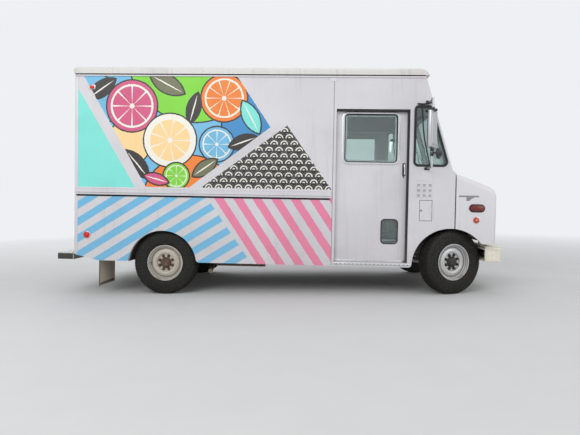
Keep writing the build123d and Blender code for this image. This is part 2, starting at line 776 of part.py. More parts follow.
with BuildPart() as driveshaft:
    shaft_dx = GEARBOX_TAIL[0] - PINION[0]
    shaft_dz = GEARBOX_TAIL[1] - PINION[1]
    shaft_l = (shaft_dx**2 + shaft_dz**2) ** 0.5
    shaft_tilt = degrees(atan2(shaft_dx, shaft_dz))
    shaft_mid = ((GEARBOX_TAIL[0] + PINION[0]) / 2, 0, (GEARBOX_TAIL[1] + PINION[1]) / 2)
    with Locations(Location(shaft_mid, (0, shaft_tilt, 0))):
        Cylinder(36, shaft_l - 40)
    rod(PINION[0] + 30, 0, PINION[1] + 1, 40, 60, "x")
    rod(GEARBOX_TAIL[0] - 30, 0, GEARBOX_TAIL[1] - 1, 40, 60, "x")
write(driveshaft, "driveshaft")

with BuildPart() as radiator:
    block(
        ENGINE_FRONT + 30, -340, RAIL_TOP - RAIL_WEB, ENGINE_FRONT + 90, 340, 1180,
    )
write(radiator, "radiator")

TANK_X = DOORWAY_X - 572
TANK_L = 540.0
TANK_W = 460.0

with BuildPart() as fuel_tank:
    block(TANK_X, -RAIL_Y, RAIL_Z - 80, TANK_X + TANK_L, -RAIL_Y - TANK_W, RAIL_TOP - 10)
    fillet(fuel_tank.edges().filter_by(Axis.X), 40)
write(fuel_tank, "fuel_tank")

PIPE_R = 28.0
PIPE_Y = -RAIL_Y - 130
MUFFLER_X = TANK_X - 590
MUFFLER_Z = 400.0
DOWN_PIPE = (
    (GEARBOX_BACK + 140, -260, MUFFLER_Z + 30),
    (TANK_X - 40, -300, MUFFLER_Z + 20),
    (MUFFLER_X + 390, PIPE_Y, MUFFLER_Z + 10),
    (MUFFLER_X + 240, PIPE_Y, MUFFLER_Z + 10),
)
TAIL_PIPE = (
    (MUFFLER_X - 220, PIPE_Y, MUFFLER_Z - 20),
    (MUFFLER_X - 360, PIPE_Y, MUFFLER_Z - 50),
    (MUFFLER_X - 314, -HALF_W + 100, MUFFLER_Z - 115),
)

with BuildPart() as exhaust:
    rod(MUFFLER_X, PIPE_Y, MUFFLER_Z, 95, 620, "x")
    for pipe_points in (DOWN_PIPE, TAIL_PIPE):
        with BuildLine() as pipe_path:
            FilletPolyline(*pipe_points, radius=70)
        with BuildSketch(Plane(pipe_path.line @ 0, z_dir=pipe_path.line % 0)):
            Circle(PIPE_R)
        sweep(path=pipe_path.line)
    block(
        MUFFLER_X - 20, PIPE_Y + 60, MUFFLER_Z + 70, MUFFLER_X + 20, -RAIL_Y,
        MUFFLER_Z + 100,
    )
write(exhaust, "exhaust")


# Bumpers and mud flaps

with BuildPart() as front_bumper:
    block(BUMPER_FRONT - 40, -BUMPER_HALF_W, BUMPER_Z, BUMPER_FRONT, BUMPER_HALF_W, BUMPER_Z + BUMPER_H)
    block(BUMPER_BACK, -BUMPER_HALF_W, BUMPER_Z, BUMPER_FRONT - 8, BUMPER_HALF_W, BUMPER_Z + BUMPER_H)
    corners = front_bumper.edges().filter_by(Axis.Z).filter_by(
        lambda e: abs(abs(e.center().Y) - BUMPER_HALF_W) < 1
    )
    fillet(corners.group_by(Axis.X)[-1], 18)
    fillet(corners.group_by(Axis.X)[0], 8)
    block(
        BUMPER_BACK + 10, -BUMPER_HALF_W + 8, BUMPER_Z + 12, BUMPER_FRONT - 14,
        BUMPER_HALF_W - 8, BUMPER_Z + BUMPER_H - 12, mode=Mode.SUBTRACT,
    )
    for side in (-1, 1):
        block(
            BUMPER_BACK - 1, side * (RAIL_Y + 100), BUMPER_Z + 12, BUMPER_BACK + 11,
            side * (BUMPER_HALF_W - 30), BUMPER_Z + BUMPER_H - 12, mode=Mode.SUBTRACT,
        )
    for side in (-1, 1):
        block(
            NOSE_HINGE[0] - 15, side * NOSE_EAR_Y, BUMPER_Z + BUMPER_H - 2,
            NOSE_HINGE[0] + 15, side * (NOSE_EAR_Y + NOSE_EAR_T), NOSE_HINGE[1] + 15,
        )
        rod(
            NOSE_HINGE[0], side * (NOSE_EAR_Y - 15), NOSE_HINGE[1], NOSE_PIN_R, 70, "y",
        )
write(front_bumper, "front_bumper")

HITCH_X = STEP_BACK + 55
HITCH_R = 13.0
STEP_ARM_X = BODY_REAR + 390

with BuildPart() as rear_bumper:
    block(STEP_BACK, -HALF_W, STEP_Z, BODY_REAR - 8, HALF_W, STEP_Z + STEP_H)
    block(
        STEP_BACK + 10, -HALF_W - 1, STEP_Z - 1, BODY_REAR - 18, HALF_W + 1,
        STEP_Z + STEP_H - 10, mode=Mode.SUBTRACT,
    )
    for side in (-1, 1):
        block(
            STEP_BACK + 5, side * (RAIL_Y - 60), STEP_Z, STEP_ARM_X, side * (RAIL_Y - 10),
            STEP_Z + 50,
        )
        block(
            STEP_ARM_X - 300, side * (RAIL_Y - 60), STEP_Z, STEP_ARM_X,
            side * (RAIL_Y - 10), RAIL_Z,
        )
    rod(HITCH_X, 0, STEP_Z + STEP_H, HITCH_R, 60, "z", mode=Mode.SUBTRACT)
write(rear_bumper, "rear_bumper")

FLAP_X = BODY_REAR + 292

with BuildPart() as mud_flaps:
    for side in (-1, 1):
        block(
            FLAP_X - 8, side * (WELL_IN + 30), 70, FLAP_X, side * (HALF_W - 55),
            FLOOR_Z - FLOOR_T,
        )
write(mud_flaps, "mud_flaps")


# Nose: a one-piece shell that tips forward about its lower front edge.

LAMP_Y = HALF_W - 280
LAMP_Z = 985.0
LAMP_R = 92.0
GRILLE_HALF = HALF_W / 2
GRILLE_Z = 800.0
GRILLE_TOP = 1170.0


def nose_block(inset):
    """The rounded nose, shrunk by a wall's thickness all round."""
    plane, depth = slab(-HALF_W + inset, HALF_W - inset)
    back = NOSE_BACK - (1 if inset else 0)
    low = NOSE_Z - (500 if inset else 0)
    slope = sin(radians(NOSE_DROP)) / cos(radians(NOSE_DROP))
    front = NOSE_FRONT - inset
    top_back = COWL_Z - 7 - inset / cos(radians(NOSE_DROP))
    top_front = top_back - (front - NOSE_BACK) * slope
    with BuildPart() as solid:
        with BuildSketch(plane) as outline:
            with BuildLine():
                Polyline((back, low), (front, low), (front, top_front), (back, top_back), close=True)
            make_face()
            brow = outline.vertices().filter_by(
                lambda v: abs(v.X - front) < 1 and v.Y > low + 10
            )
            fillet(brow, NOSE_BROW_R - inset)
        extrude(amount=depth)
        long_edges = solid.edges().filter_by(
            lambda e: abs(abs(e.center().Y) - depth / 2) < 1
            and e.center().X > NOSE_BACK + 5
            and e.center().Z > low + 5
        )
        fillet(long_edges, NOSE_EDGE_R - inset)
    return solid


with BuildPart() as nose_shell:
    add(nose_block(0))
    add(nose_block(NOSE_WALL), mode=Mode.SUBTRACT)
    block(
        NOSE_BACK - 60, -HALF_W - 1, NOSE_Z - 5, NOSE_BACK + 1, HALF_W + 1, NOSE_Z + 5,
        mode=Mode.SUBTRACT,
    )
    rod(FRONT_ARCH[0], 0, FRONT_ARCH[1], FRONT_ARCH_R, 2 * HALF_W + 10, "y", mode=Mode.SUBTRACT)
    block(
        NOSE_FRONT - 60, -GRILLE_HALF, GRILLE_Z, NOSE_FRONT + 1, GRILLE_HALF, GRILLE_TOP,
        mode=Mode.SUBTRACT,
    )
    for side in (-1, 1):
        rod(NOSE_FRONT, side * LAMP_Y, LAMP_Z, LAMP_R, 100, "x", mode=Mode.SUBTRACT)
        # Hinge lug on the inside of the front, and the slot that clears the bumper's ear
        block(
            NOSE_HINGE[0] - 14, side * (NOSE_EAR_Y - 45), NOSE_HINGE[1] - 14,
            NOSE_FRONT - NOSE_WALL + 1, side * (NOSE_EAR_Y - 5), NOSE_HINGE[1] + 14,
        )
        rod(
            NOSE_HINGE[0], side * (NOSE_EAR_Y - 25), NOSE_HINGE[1], NOSE_PIN_R + RUN_GAP, 60,
            "y", mode=Mode.SUBTRACT,
        )
        block(
            NOSE_FRONT - 60, side * (NOSE_EAR_Y - 5), NOSE_Z - 1, NOSE_FRONT + 1,
            side * (NOSE_EAR_Y + NOSE_EAR_T + 10), NOSE_HINGE[1] + 45, mode=Mode.SUBTRACT,
        )
write(nose_shell, "nose_shell")

with BuildPart() as grille:
    for row in range(6):
        row_z = GRILLE_Z + 30 + row * (GRILLE_TOP - GRILLE_Z - 60) / 5
        block(
            NOSE_FRONT - 20, -GRILLE_HALF + 20, row_z - 12, NOSE_FRONT - 4, GRILLE_HALF - 20,
            row_z + 12,
        )
    for column in range(5):
        column_y = (column - 2) * (GRILLE_HALF - 30) / 2
        block(
            NOSE_FRONT - 40, column_y - 8, GRILLE_Z + 8, NOSE_FRONT - 12, column_y + 8,
            GRILLE_TOP - 8,
        )
    block(NOSE_FRONT - 30, -GRILLE_HALF, GRILLE_Z, NOSE_FRONT, GRILLE_HALF, GRILLE_Z + 20)
    block(NOSE_FRONT - 30, -GRILLE_HALF, GRILLE_TOP - 20, NOSE_FRONT, GRILLE_HALF, GRILLE_TOP)
    for side in (-1, 1):
        block(
            NOSE_FRONT - 30, side * (GRILLE_HALF - 22), GRILLE_Z, NOSE_FRONT,
            side * GRILLE_HALF, GRILLE_TOP,
        )
write(grille, "grille")

with BuildPart() as headlamps:
    for side in (-1, 1):
        rod(NOSE_FRONT - 20, side * LAMP_Y, LAMP_Z, LAMP_R - SEAT_GAP, 60, "x")
write(headlamps, "headlamps")


# Cab fittings

COVER_X = HOUSING_X - 5
SEAT_Y = TUNNEL_HALF + 170
SEAT_W = 460.0
SEAT_X = COVER_X - 500
SEAT_TOP = 1160.0
STEERING_PLACE = Location((COWL_X - 365, SEAT_Y + 30, 1500), (0, -55, 0))
COLUMN_R = 22.0
COLUMN_L = 190.0
DASH_TOP = 1440.0
DASH_FOOT = 1180.0

with BuildPart() as engine_cover:
    block(COVER_X, -TUNNEL_HALF, FLOOR_Z, CAB_END, TUNNEL_HALF, TUNNEL_TOP)
    block(
        COVER_X + SHEET, -TUNNEL_HALF + SHEET, FLOOR_Z - 1, CAB_END + 1, TUNNEL_HALF - SHEET,
        TUNNEL_TOP - SHEET, mode=Mode.SUBTRACT,
    )
write(engine_cover, "engine_cover")

with BuildPart() as dashboard:
    with BuildSketch(Plane.XZ):
        with BuildLine():
            Polyline(
                (CAB_END, DASH_FOOT), (CAB_END, DASH_TOP), (CAB_END - 160, DASH_TOP),
                (CAB_END - 240, DASH_TOP - 60), (CAB_END - 200, DASH_FOOT),
                close=True,
            )
        make_face()
    extrude(amount=INNER_Y - 5, both=True)
    with Locations(STEERING_PLACE):
        Cylinder(COLUMN_R + SEAT_GAP, 2 * COLUMN_L, mode=Mode.SUBTRACT)
write(dashboard, "dashboard")

with BuildPart() as driver_seat:
    seat_right = SEAT_Y - SEAT_W / 2
    seat_left = SEAT_Y + SEAT_W / 2
    block(SEAT_X + 40, seat_right, SEAT_TOP - 80, SEAT_X + 500, seat_left, SEAT_TOP)
    block(SEAT_X, seat_right, SEAT_TOP - 60, SEAT_X + 80, seat_left, SEAT_TOP + 560)
    rod(SEAT_X + 250, SEAT_Y, (FLOOR_Z + SEAT_TOP - 75) / 2, 60, SEAT_TOP - 75 - FLOOR_Z, "z")
    rod(SEAT_X + 250, SEAT_Y, FLOOR_Z + 10, 140, 20, "z")
    fillet(driver_seat.edges().filter_by(Axis.Z).filter_by(lambda e: e.length > 60), 30)
write(driver_seat, "driver_seat")

with BuildPart() as steering_wheel:
    with Locations(STEERING_PLACE):
        Torus(210, 13)
        Cylinder(50, 26)
        Box(20, 420, 16)
        Box(420, 20, 16)
        with Locations((0, 0, -COLUMN_L / 2)):
            Cylinder(COLUMN_R, COLUMN_L)
write(steering_wheel, "steering_wheel")


# Kitchen: a counter along each wall, with a cooker and its hood on the right

COUNTER_X = HATCH_X - 140
COUNTER_L = 1800.0
COUNTER_Z = HATCH_Z - 10
COUNTER_D = 480.0
COUNTER_T = 40.0
PANEL_T = 20.0
SHELF_Z = 900.0
COOKER = (-100.0, 900.0)
COOKER_H = 190.0
HOOD_Z = 2280.0
HOOD_H = 220.0

with BuildPart() as kitchen_counters:
    for side in (-1, 1):
        front_y = side * (INNER_Y - COUNTER_D)
        block(
            COUNTER_X, front_y, COUNTER_Z - COUNTER_T, COUNTER_X + COUNTER_L, side * INNER_Y,
            COUNTER_Z,
        )
        for panel_x in (
            COUNTER_X, WELL_X[1] + PANEL_T, COUNTER_X + COUNTER_L - PANEL_T,
        ):
            block(
                panel_x, front_y, FLOOR_Z, panel_x + PANEL_T, side * INNER_Y,
                COUNTER_Z - COUNTER_T,
            )
        block(
            COUNTER_X, front_y, SHELF_Z, COUNTER_X + COUNTER_L, side * INNER_Y,
            SHELF_Z + PANEL_T,
        )
write(kitchen_counters, "kitchen_counters")

with BuildPart() as cooker:
    block(
        COOKER[0], -INNER_Y + 20, COUNTER_Z, COOKER[1], -INNER_Y + COUNTER_D - 20,
        COUNTER_Z + COOKER_H,
    )
    block(
        COOKER[0], -INNER_Y + 20, COUNTER_Z + COOKER_H, COOKER[1], -INNER_Y + 40,
        COUNTER_Z + COOKER_H + 120,
    )
    block(
        COOKER[0] + 30, -INNER_Y + 60, COUNTER_Z + COOKER_H - 12, COOKER[0] + 600,
        -INNER_Y + COUNTER_D - 50, COUNTER_Z + COOKER_H + 1, mode=Mode.SUBTRACT,
    )
    block(
        COOKER[0] + 660, -INNER_Y + 70, COUNTER_Z + COOKER_H - 150, COOKER[1] - 40,
        -INNER_Y + COUNTER_D - 70, COUNTER_Z + COOKER_H + 1, mode=Mode.SUBTRACT,
    )
write(cooker, "cooker")

with BuildPart() as extract_hood:
    with BuildSketch(Plane.YZ.offset(COOKER[0] - 50)):
        with BuildLine():
            Polyline(
                (-INNER_Y, HOOD_Z), (-INNER_Y + COUNTER_D, HOOD_Z),
                (-INNER_Y + COUNTER_D, HOOD_Z + 50), (-INNER_Y + 200, HOOD_Z + HOOD_H),
                (-INNER_Y, HOOD_Z + HOOD_H),
                close=True,
            )
        make_face()
    extrude(amount=COOKER[1] - COOKER[0] + 100)
    block(
        COOKER[0] - 30, -INNER_Y - 1, HOOD_Z - 1, COOKER[1] + 30, -INNER_Y + COUNTER_D - 20,
        HOOD_Z + 40, mode=Mode.SUBTRACT,
    )
write(extract_hood, "extract_hood")


# Mirrors and lamps

MIRROR_Y = HALF_W + 225
MIRROR_X = COWL_X - 332
MIRROR_Z = 1766.0
MIRROR_TOP = 2165.0
MIRROR_TOE = 34.0
MIRROR_ARM_ZS = (1552.0, 2302.0)
TAIL_LAMP_ZS = (1000.0, 1130.0, 1260.0)

with BuildPart() as mirrors:
    for side in (-1, 1):
        with Locations(
            Location((MIRROR_X, side * MIRROR_Y, (MIRROR_Z + MIRROR_TOP) / 2), (0, 0, side * MIRROR_TOE))
        ):
            Box(36, 190, MIRROR_TOP - MIRROR_Z)
        rod(
            MIRROR_X, side * MIRROR_Y, sum(MIRROR_ARM_ZS) / 2, 12,
            MIRROR_ARM_ZS[1] - MIRROR_ARM_ZS[0] + 30, "z",
        )
        for arm_z in MIRROR_ARM_ZS:
            rod(
                MIRROR_X, side * (HALF_W + MIRROR_Y) / 2, arm_z, 10, MIRROR_Y - HALF_W, "y",
            )
write(mirrors, "mirrors")

with BuildPart() as lamps:
    for side in (-1, 1):
        for lamp_z in TAIL_LAMP_ZS:
            rod(BODY_REAR - 10, side * (HALF_W - 120), lamp_z, 50, 20, "x")
        rod(BODY_REAR + 152, side * (HALF_W + 5), 701, 39, 10, "y")
        block(
            BODY_REAR + 190, side * HALF_W, 2442, BODY_REAR + 230, side * (HALF_W + 14), 2476,
        )
write(lamps, "lamps")


# Wheels and tyres, each turned about its own axle with y outboard.

TYRE_BEAD_HALF = 84.0
RIM_LIP = 14.0
RIM_T = 9.0
HUB_R = 62.0
DISC_T = 12.0
DRUM_R = 156.0


TYRE_SECTION = (
    (-TYRE_BEAD_HALF, RIM_R + SEAT_GAP),
    (-TYRE_HALF_W, RIM_R + 60),
    (-TYRE_HALF_W + 6, TYRE_R - 34),
    (-TYRE_HALF_W + 24, TYRE_R - 4),
    (-TYRE_HALF_W + 36, TYRE_R),
    (TYRE_HALF_W - 36, TYRE_R),
    (TYRE_HALF_W - 24, TYRE_R - 4),
    (TYRE_HALF_W - 6, TYRE_R - 34),
    (TYRE_HALF_W, RIM_R + 60),
    (TYRE_BEAD_HALF, RIM_R + SEAT_GAP),
)
BARREL_SECTION = (
    (-TYRE_BEAD_HALF, RIM_R),
    (-TYRE_BEAD_HALF, RIM_R - RIM_T),
    (-TYRE_BEAD_HALF + 30, RIM_R - RIM_T - 4),
    (-TYRE_BEAD_HALF + 40, RIM_R - RIM_T - 16),
    (TYRE_BEAD_HALF - 40, RIM_R - RIM_T - 16),
    (TYRE_BEAD_HALF - 30, RIM_R - RIM_T - 4),
    (TYRE_BEAD_HALF, RIM_R - RIM_T),
    (TYRE_BEAD_HALF, RIM_R),
)
DISC_SECTION = (
    (0, HUB_R - 10),
    (DISC_T, HUB_R - 10),
    (DISC_T, 100),
    (DISC_T + 18, 112),
    (DISC_T + 24, 132),
    (DISC_T + 16, 158),
    (DISC_T - 4, 174),
    (DISC_T - 4, RIM_R - 4),
    (-8, RIM_R - 4),
    (-8, 170),
    (6, 150),
    (12, 132),
    (8, 120),
    (0, 108),
)


def tyre_profile(offset):
    """Half section of a tyre, drawn with the axle along the y axis."""
    with BuildSketch(Plane.YZ) as section:
        with BuildLine():
            Polyline(*[(offset + across, out) for across, out in TYRE_SECTION], close=True)
        make_face()
    return section


def rim_profile(offset, disc):
    """Half section of a steel wheel whose disc stands at the given place across it."""
    with BuildSketch(Plane.YZ) as section:
        with BuildLine():
            Polyline(*[(offset + across, out) for across, out in BARREL_SECTION], close=True)
        make_face()
        with BuildLine():
            Polyline(
                *[(offset + disc + across, out) for across, out in DISC_SECTION], close=True
            )
        make_face()
    return section


def hub_profile(start, end):
    """Half section of a hub that turns on its spindle."""
    with BuildSketch(Plane.YZ) as section:
        with BuildLine():
            Polyline(
                (start, SPINDLE_R + RUN_GAP), (end, SPINDLE_R + RUN_GAP), (end, HUB_R - 14),
                (end - 14, HUB_R), (start, HUB_R), close=True,
            )
        make_face()
    return section


WHEEL_DISC = 28.0
HUB_END = 68.0

with BuildPart() as front_wheel:
    revolve(rim_profile(0, WHEEL_DISC).sketch, axis=Axis.Y)
    revolve(hub_profile(22, HUB_END).sketch, axis=Axis.Y)
    with Locations(Location((0, HUB_END + 5, 0), (90, 0, 0))):
        Cylinder(HUB_R - 16, 12)

with BuildPart() as tyre:
    revolve(tyre_profile(0).sketch, axis=Axis.Y)

with BuildPart() as rear_wheel:
    revolve(rim_profile(0, WHEEL_DISC).sketch, axis=Axis.Y)
    revolve(hub_profile(-74, HUB_END).sketch, axis=Axis.Y)
    with Locations(Location((0, HUB_END + 5, 0), (90, 0, 0))):
        Cylinder(HUB_R - 16, 12)
    # Brake drum
    with BuildSketch(Plane.YZ):
        with BuildLine():
            Polyline(
                (WHEEL_DISC, HUB_R - 8), (WHEEL_DISC, DRUM_R), (-56, DRUM_R),
                (-56, DRUM_R - 10), (WHEEL_DISC - 12, DRUM_R - 10),
                (WHEEL_DISC - 12, HUB_R - 8), close=True,
            )
        make_face()
    revolve(axis=Axis.Y)


# Steering knuckles: an upper and a lower ear on the kingpin, an outboard web that
# carries the spindle, and an arm for the tie rod. Drawn about the kingpin.

EAR_R = 40.0
EAR_T = 30.0
EAR_Z = BOSS_H / 2 + HUB_GAP
ARM_L = 100.0
ARM_PIN_R = 9.0
ARM_T = 18.0
TIE_Z = -4.0
TIE_R = 12.0
WHEEL_OUT = WHEEL_Y - KINGPIN_Y


def knuckle(side):
    """A steering knuckle. side is 1 for the left and -1 for the right."""
    arm_z = TIE_Z - TIE_R - ARM_T / 2
    with BuildPart() as piece:
        for low in (EAR_Z, -EAR_Z - EAR_T):
            rod(0, 0, low + EAR_T / 2, EAR_R, EAR_T, "z")
            block(-EAR_R, 0, low, EAR_R, side * 66, low + EAR_T)
        block(-EAR_R, side * 46, -EAR_Z - EAR_T, EAR_R, side * 66, EAR_Z + EAR_T)
        block(
            -ARM_L - 18, side * 46, arm_z - ARM_T / 2, -EAR_R + 1, side * 66,
            arm_z + ARM_T / 2,
        )
        block(
            -ARM_L - 18, 0, arm_z - ARM_T / 2, -ARM_L + 18, side * 47, arm_z + ARM_T / 2,
        )
        rod(-ARM_L, 0, arm_z, 18, ARM_T, "z")
        for low in (EAR_Z, -EAR_Z - EAR_T):
            rod(0, 0, low + EAR_T / 2, PIN_R + RUN_GAP, EAR_T + 2, "z", mode=Mode.SUBTRACT)
        rod(
            -ARM_L, 0, arm_z, ARM_PIN_R + (RUN_GAP if side > 0 else 1.5), ARM_T + 2, "z",
            mode=Mode.SUBTRACT,
        )
        rod(0, side * (WHEEL_OUT + 39), 0, SPINDLE_R, 50, "y")
    return piece


with BuildPart() as tie_rod:
    rod(0, 0, TIE_Z, TIE_R - 2, 2 * KINGPIN_Y, "y")
    for side in (-1, 1):
        rod(0, side * KINGPIN_Y, TIE_Z, 18, 2 * TIE_R - 1, "z")
        rod(0, side * KINGPIN_Y, TIE_Z - 18, ARM_PIN_R, 36, "z")

FRONT_AXLE_X = WHEELBASE - MIDDLE_X
REAR_AXLE_X = -MIDDLE_X
STEER = Rot(0, 0, PARKED_STEER)
ARM_SHIFT = (ARM_L * cos(radians(PARKED_STEER)), ARM_L * sin(radians(PARKED_STEER)))

for side, name in ((-1, "right"), (1, "left")):
    kingpin = Pos(FRONT_AXLE_X, side * KINGPIN_Y, TYRE_R) * STEER
    hub_end = kingpin * Pos(0, side * WHEEL_OUT, 0)
    if side < 0:
        hub_end = hub_end * Rot(0, 0, 180)
    rear_end = Pos(REAR_AXLE_X, side * WHEEL_Y, TYRE_R) * Rot(0, 0, 0 if side > 0 else 180)
    write(knuckle(side), f"knuckle_{name}", kingpin)
    write(front_wheel, f"wheel_front_{name}", hub_end)
    write(tyre, f"tyre_front_{name}", hub_end)
    write(rear_wheel, f"wheel_rear_{name}", rear_end)
    write(tyre, f"tyre_rear_{name}", rear_end)
write(tie_rod, "tie_rod", Pos(FRONT_AXLE_X - ARM_SHIFT[0], -ARM_SHIFT[1], TYRE_R))
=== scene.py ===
"""Looks of the food truck: finishes for every CAD piece, and the trim, lamps, fittings
and fastenings that sit on them.

Sizes are in metres on the level truck: x runs forward from the rear axle, y to the
left and z up from the road under the rear wheels. settle() leans and centres each
finished piece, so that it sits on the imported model.
"""

import math

import bpy
from bpy.props import FloatProperty, FloatVectorProperty, IntProperty, PointerProperty
from bpy.types import Operator, Panel, PropertyGroup
from mathutils import Matrix, Vector


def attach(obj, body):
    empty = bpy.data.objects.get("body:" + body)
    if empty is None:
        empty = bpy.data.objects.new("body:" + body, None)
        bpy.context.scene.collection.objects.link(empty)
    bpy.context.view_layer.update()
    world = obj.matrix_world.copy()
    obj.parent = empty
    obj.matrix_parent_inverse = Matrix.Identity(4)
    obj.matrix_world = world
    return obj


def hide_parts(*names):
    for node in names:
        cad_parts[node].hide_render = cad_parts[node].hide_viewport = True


bl_info = {
    "name": "Food truck looks",
    "version": (1, 0, 0),
    "blender": (4, 5, 0),
    "location": "View3D > Sidebar > Food truck",
    "description": "Dresses the packed food truck with its paint, trim, lamps and fittings",
    "category": "Object",
}

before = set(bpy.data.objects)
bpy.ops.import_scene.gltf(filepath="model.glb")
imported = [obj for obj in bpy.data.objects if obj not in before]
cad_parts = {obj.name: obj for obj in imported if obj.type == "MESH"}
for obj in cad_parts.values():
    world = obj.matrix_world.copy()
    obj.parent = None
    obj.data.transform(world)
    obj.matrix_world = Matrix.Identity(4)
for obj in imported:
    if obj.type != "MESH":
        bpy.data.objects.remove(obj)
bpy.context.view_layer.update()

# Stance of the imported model
REAR_AXLE_TO_MIDDLE = 1.3458759343770334
TYRE_RADIUS = 0.376
RAKE = math.radians(1.46)
PARKED_STEER = math.radians(22.0)
STANCE = (
    Matrix.Translation((-REAR_AXLE_TO_MIDDLE, 0, TYRE_RADIUS))
    @ Matrix.Rotation(RAKE, 4, "Y")
    @ Matrix.Translation((0, 0, -TYRE_RADIUS))
)

# Body
HALF_W = 1.040
BODY_REAR = -1.090
BELT_LOW = 1.185
BELT_TOP = 1.275
SEAM_X = 1.990
DOOR_OUT = 0.987


def linear(red, green, blue):
    """A display colour, 0 to 255, as the linear values that a shader takes."""
    values = []
    for part in (red, green, blue):
        share = part / 255
        values.append(share / 12.92 if share <= 0.04045 else ((share + 0.055) / 1.055) ** 2.4)
    return tuple(values)


def colour_property(label, about, shade):
    """A colour swatch with its default."""
    return FloatVectorProperty(
        name=label, description=about, subtype="COLOR", size=3, min=0, max=1,
        default=linear(*shade),
    )


class FoodTruckColours(PropertyGroup):
    """Paint and trim colours"""

    white: colour_property("White", "Body paint between the pictures", (214, 212, 216))
    roof: colour_property("Roof", "Roof cap", (212, 210, 206))
    sky: colour_property("Sky blue", "Blue stripes and picture sky", (112, 184, 222))
    pink: colour_property("Pink", "Pink stripes", (232, 120, 158))
    turquoise: colour_property("Turquoise", "Corner block", (128, 226, 214))
    lime: colour_property("Lime", "Picture green", (126, 212, 50))
    orange: colour_property("Orange", "Picture orange", (240, 128, 42))
    rose: colour_property("Rose", "Picture rose", (208, 84, 128))
    blue: colour_property("Blue", "Picture blue", (58, 138, 196))
    olive: colour_property("Olive", "Picture olive", (110, 112, 82))
    charcoal: colour_property("Charcoal", "Picture outlines", (42, 38, 36))
    cream: colour_property("Cream", "Picture cream", (250, 212, 150))
    milk: colour_property("Milk", "Picture white", (240, 236, 224))
    wheel: colour_property("Wheels", "Wheel paint", (206, 200, 186))
    bumper: colour_property("Bumper", "Front bumper paint", (240, 235, 219))


class FoodTruckSizes(PropertyGroup):
    """Sizes of the dressing"""

    stripe_pitch: FloatProperty(
        name="Blue stripe pitch", description="Distance between blue stripes along the sill",
        default=0.3215, unit="LENGTH",
    )
    pink_pitch: FloatProperty(
        name="Pink stripe pitch", description="Distance between pink stripes along the sill",
        default=0.226, unit="LENGTH",
    )
    rivet_radius: FloatProperty(
        name="Rivet radius", description="Radius of a body rivet's head", default=0.0055,
        unit="LENGTH",
    )
    rivet_pitch: FloatProperty(
        name="Rivet pitch", description="Distance between body rivets", default=0.075,
        unit="LENGTH",
    )
    wheel_nuts: IntProperty(
        name="Wheel nuts", description="Nuts that hold each wheel", default=8, min=4,
    )
    dust: FloatProperty(
        name="Road dust", description="How much dust lies on the lower body", default=0.5,
        min=0, max=1, subtype="FACTOR",
    )


def colour(name):
    """One of the colour settings of the open scene."""
    return tuple(getattr(bpy.context.scene.food_truck_colours, name))


def sizes():
    """The size settings of the open scene."""
    return bpy.context.scene.food_truck_sizes


# Modelling helpers


def shift(x, y, z):
    """The matrix of a move."""
    return Matrix.Translation((x, y, z))


def turn(degrees, axis):
    """The matrix of a turn round an axis."""
    return Matrix.Rotation(math.radians(degrees), 4, axis)


def deselect():
    """Leaves nothing selected."""
    bpy.ops.object.select_all(action="DESELECT")


def only(piece):
    """Makes a piece the one selected, active object."""
    deselect()
    piece.select_set(True)
    bpy.context.view_layer.objects.active = piece


def apply_modifier(piece, kind, **settings):
    """Adds a modifier with the given settings and applies it."""
    only(piece)
    modifier = piece.modifiers.new(kind.title(), kind)
    for setting, value in settings.items():
        setattr(modifier, setting, value)
    bpy.ops.object.modifier_apply(modifier=modifier.name)


def soften(piece, width=0.003, segments=2):
    """Rounds a piece's edges and shades them smooth."""
    if width:
        apply_modifier(
            piece, "BEVEL", width=width, segments=segments, limit_method="ANGLE",
            angle_limit=math.radians(40), harden_normals=False,
        )
    only(piece)
    bpy.ops.object.shade_smooth_by_angle(angle=math.radians(35))
    return piece


def apply_place():
    """Applies the place, turn and scale of what is selected to its mesh."""
    bpy.ops.object.transform_apply(location=True, rotation=True, scale=True)


def facing(direction):
    """Turns the new primitive's +Z to a direction and applies it."""
    piece = bpy.context.object
    piece.rotation_mode = "QUATERNION"
    piece.rotation_quaternion = Vector(direction).to_track_quat("Z", "Y")
    apply_place()
    return piece


def face_outwards(piece, merge=0.0):
    """Merges a piece's doubled points, where asked, and turns its faces outwards."""
    only(piece)
    bpy.ops.object.mode_set(mode="EDIT")
    bpy.ops.mesh.select_all(action="SELECT")
    if merge:
        bpy.ops.mesh.remove_doubles(threshold=merge)
    bpy.ops.mesh.normals_make_consistent(inside=False)
    bpy.ops.object.mode_set(mode="OBJECT")


def block(low, high, width=0.003, segments=2):
    """A box between two corners, with rounded edges."""
    deselect()
    middle = [(a + b) / 2 for a, b in zip(low, high)]
    bpy.ops.mesh.primitive_cube_add(size=1, location=middle)
    piece = bpy.context.object
    piece.scale = [abs(b - a) for a, b in zip(low, high)]
    apply_place()
    return soften(piece, width, segments)


def rod(start, end, radius, sides=32, width=0.002, top=None):
    """A round bar between two points. top is the radius at its end."""
    deselect()
    start, end = Vector(start), Vector(end)
    bpy.ops.mesh.primitive_cone_add(
        vertices=sides, radius1=radius, radius2=radius if top is None else top,
        depth=(end - start).length, location=(start + end) / 2,
    )
    return soften(facing(end - start), width)


def ring(centre, axis, major, minor, sides=48, minor_sides=12):
    """A torus round an axis."""
    deselect()
    bpy.ops.mesh.primitive_torus_add(
        major_radius=major, minor_radius=minor, major_segments=sides,
        minor_segments=minor_sides, location=centre,
    )
    return soften(facing(axis), 0)


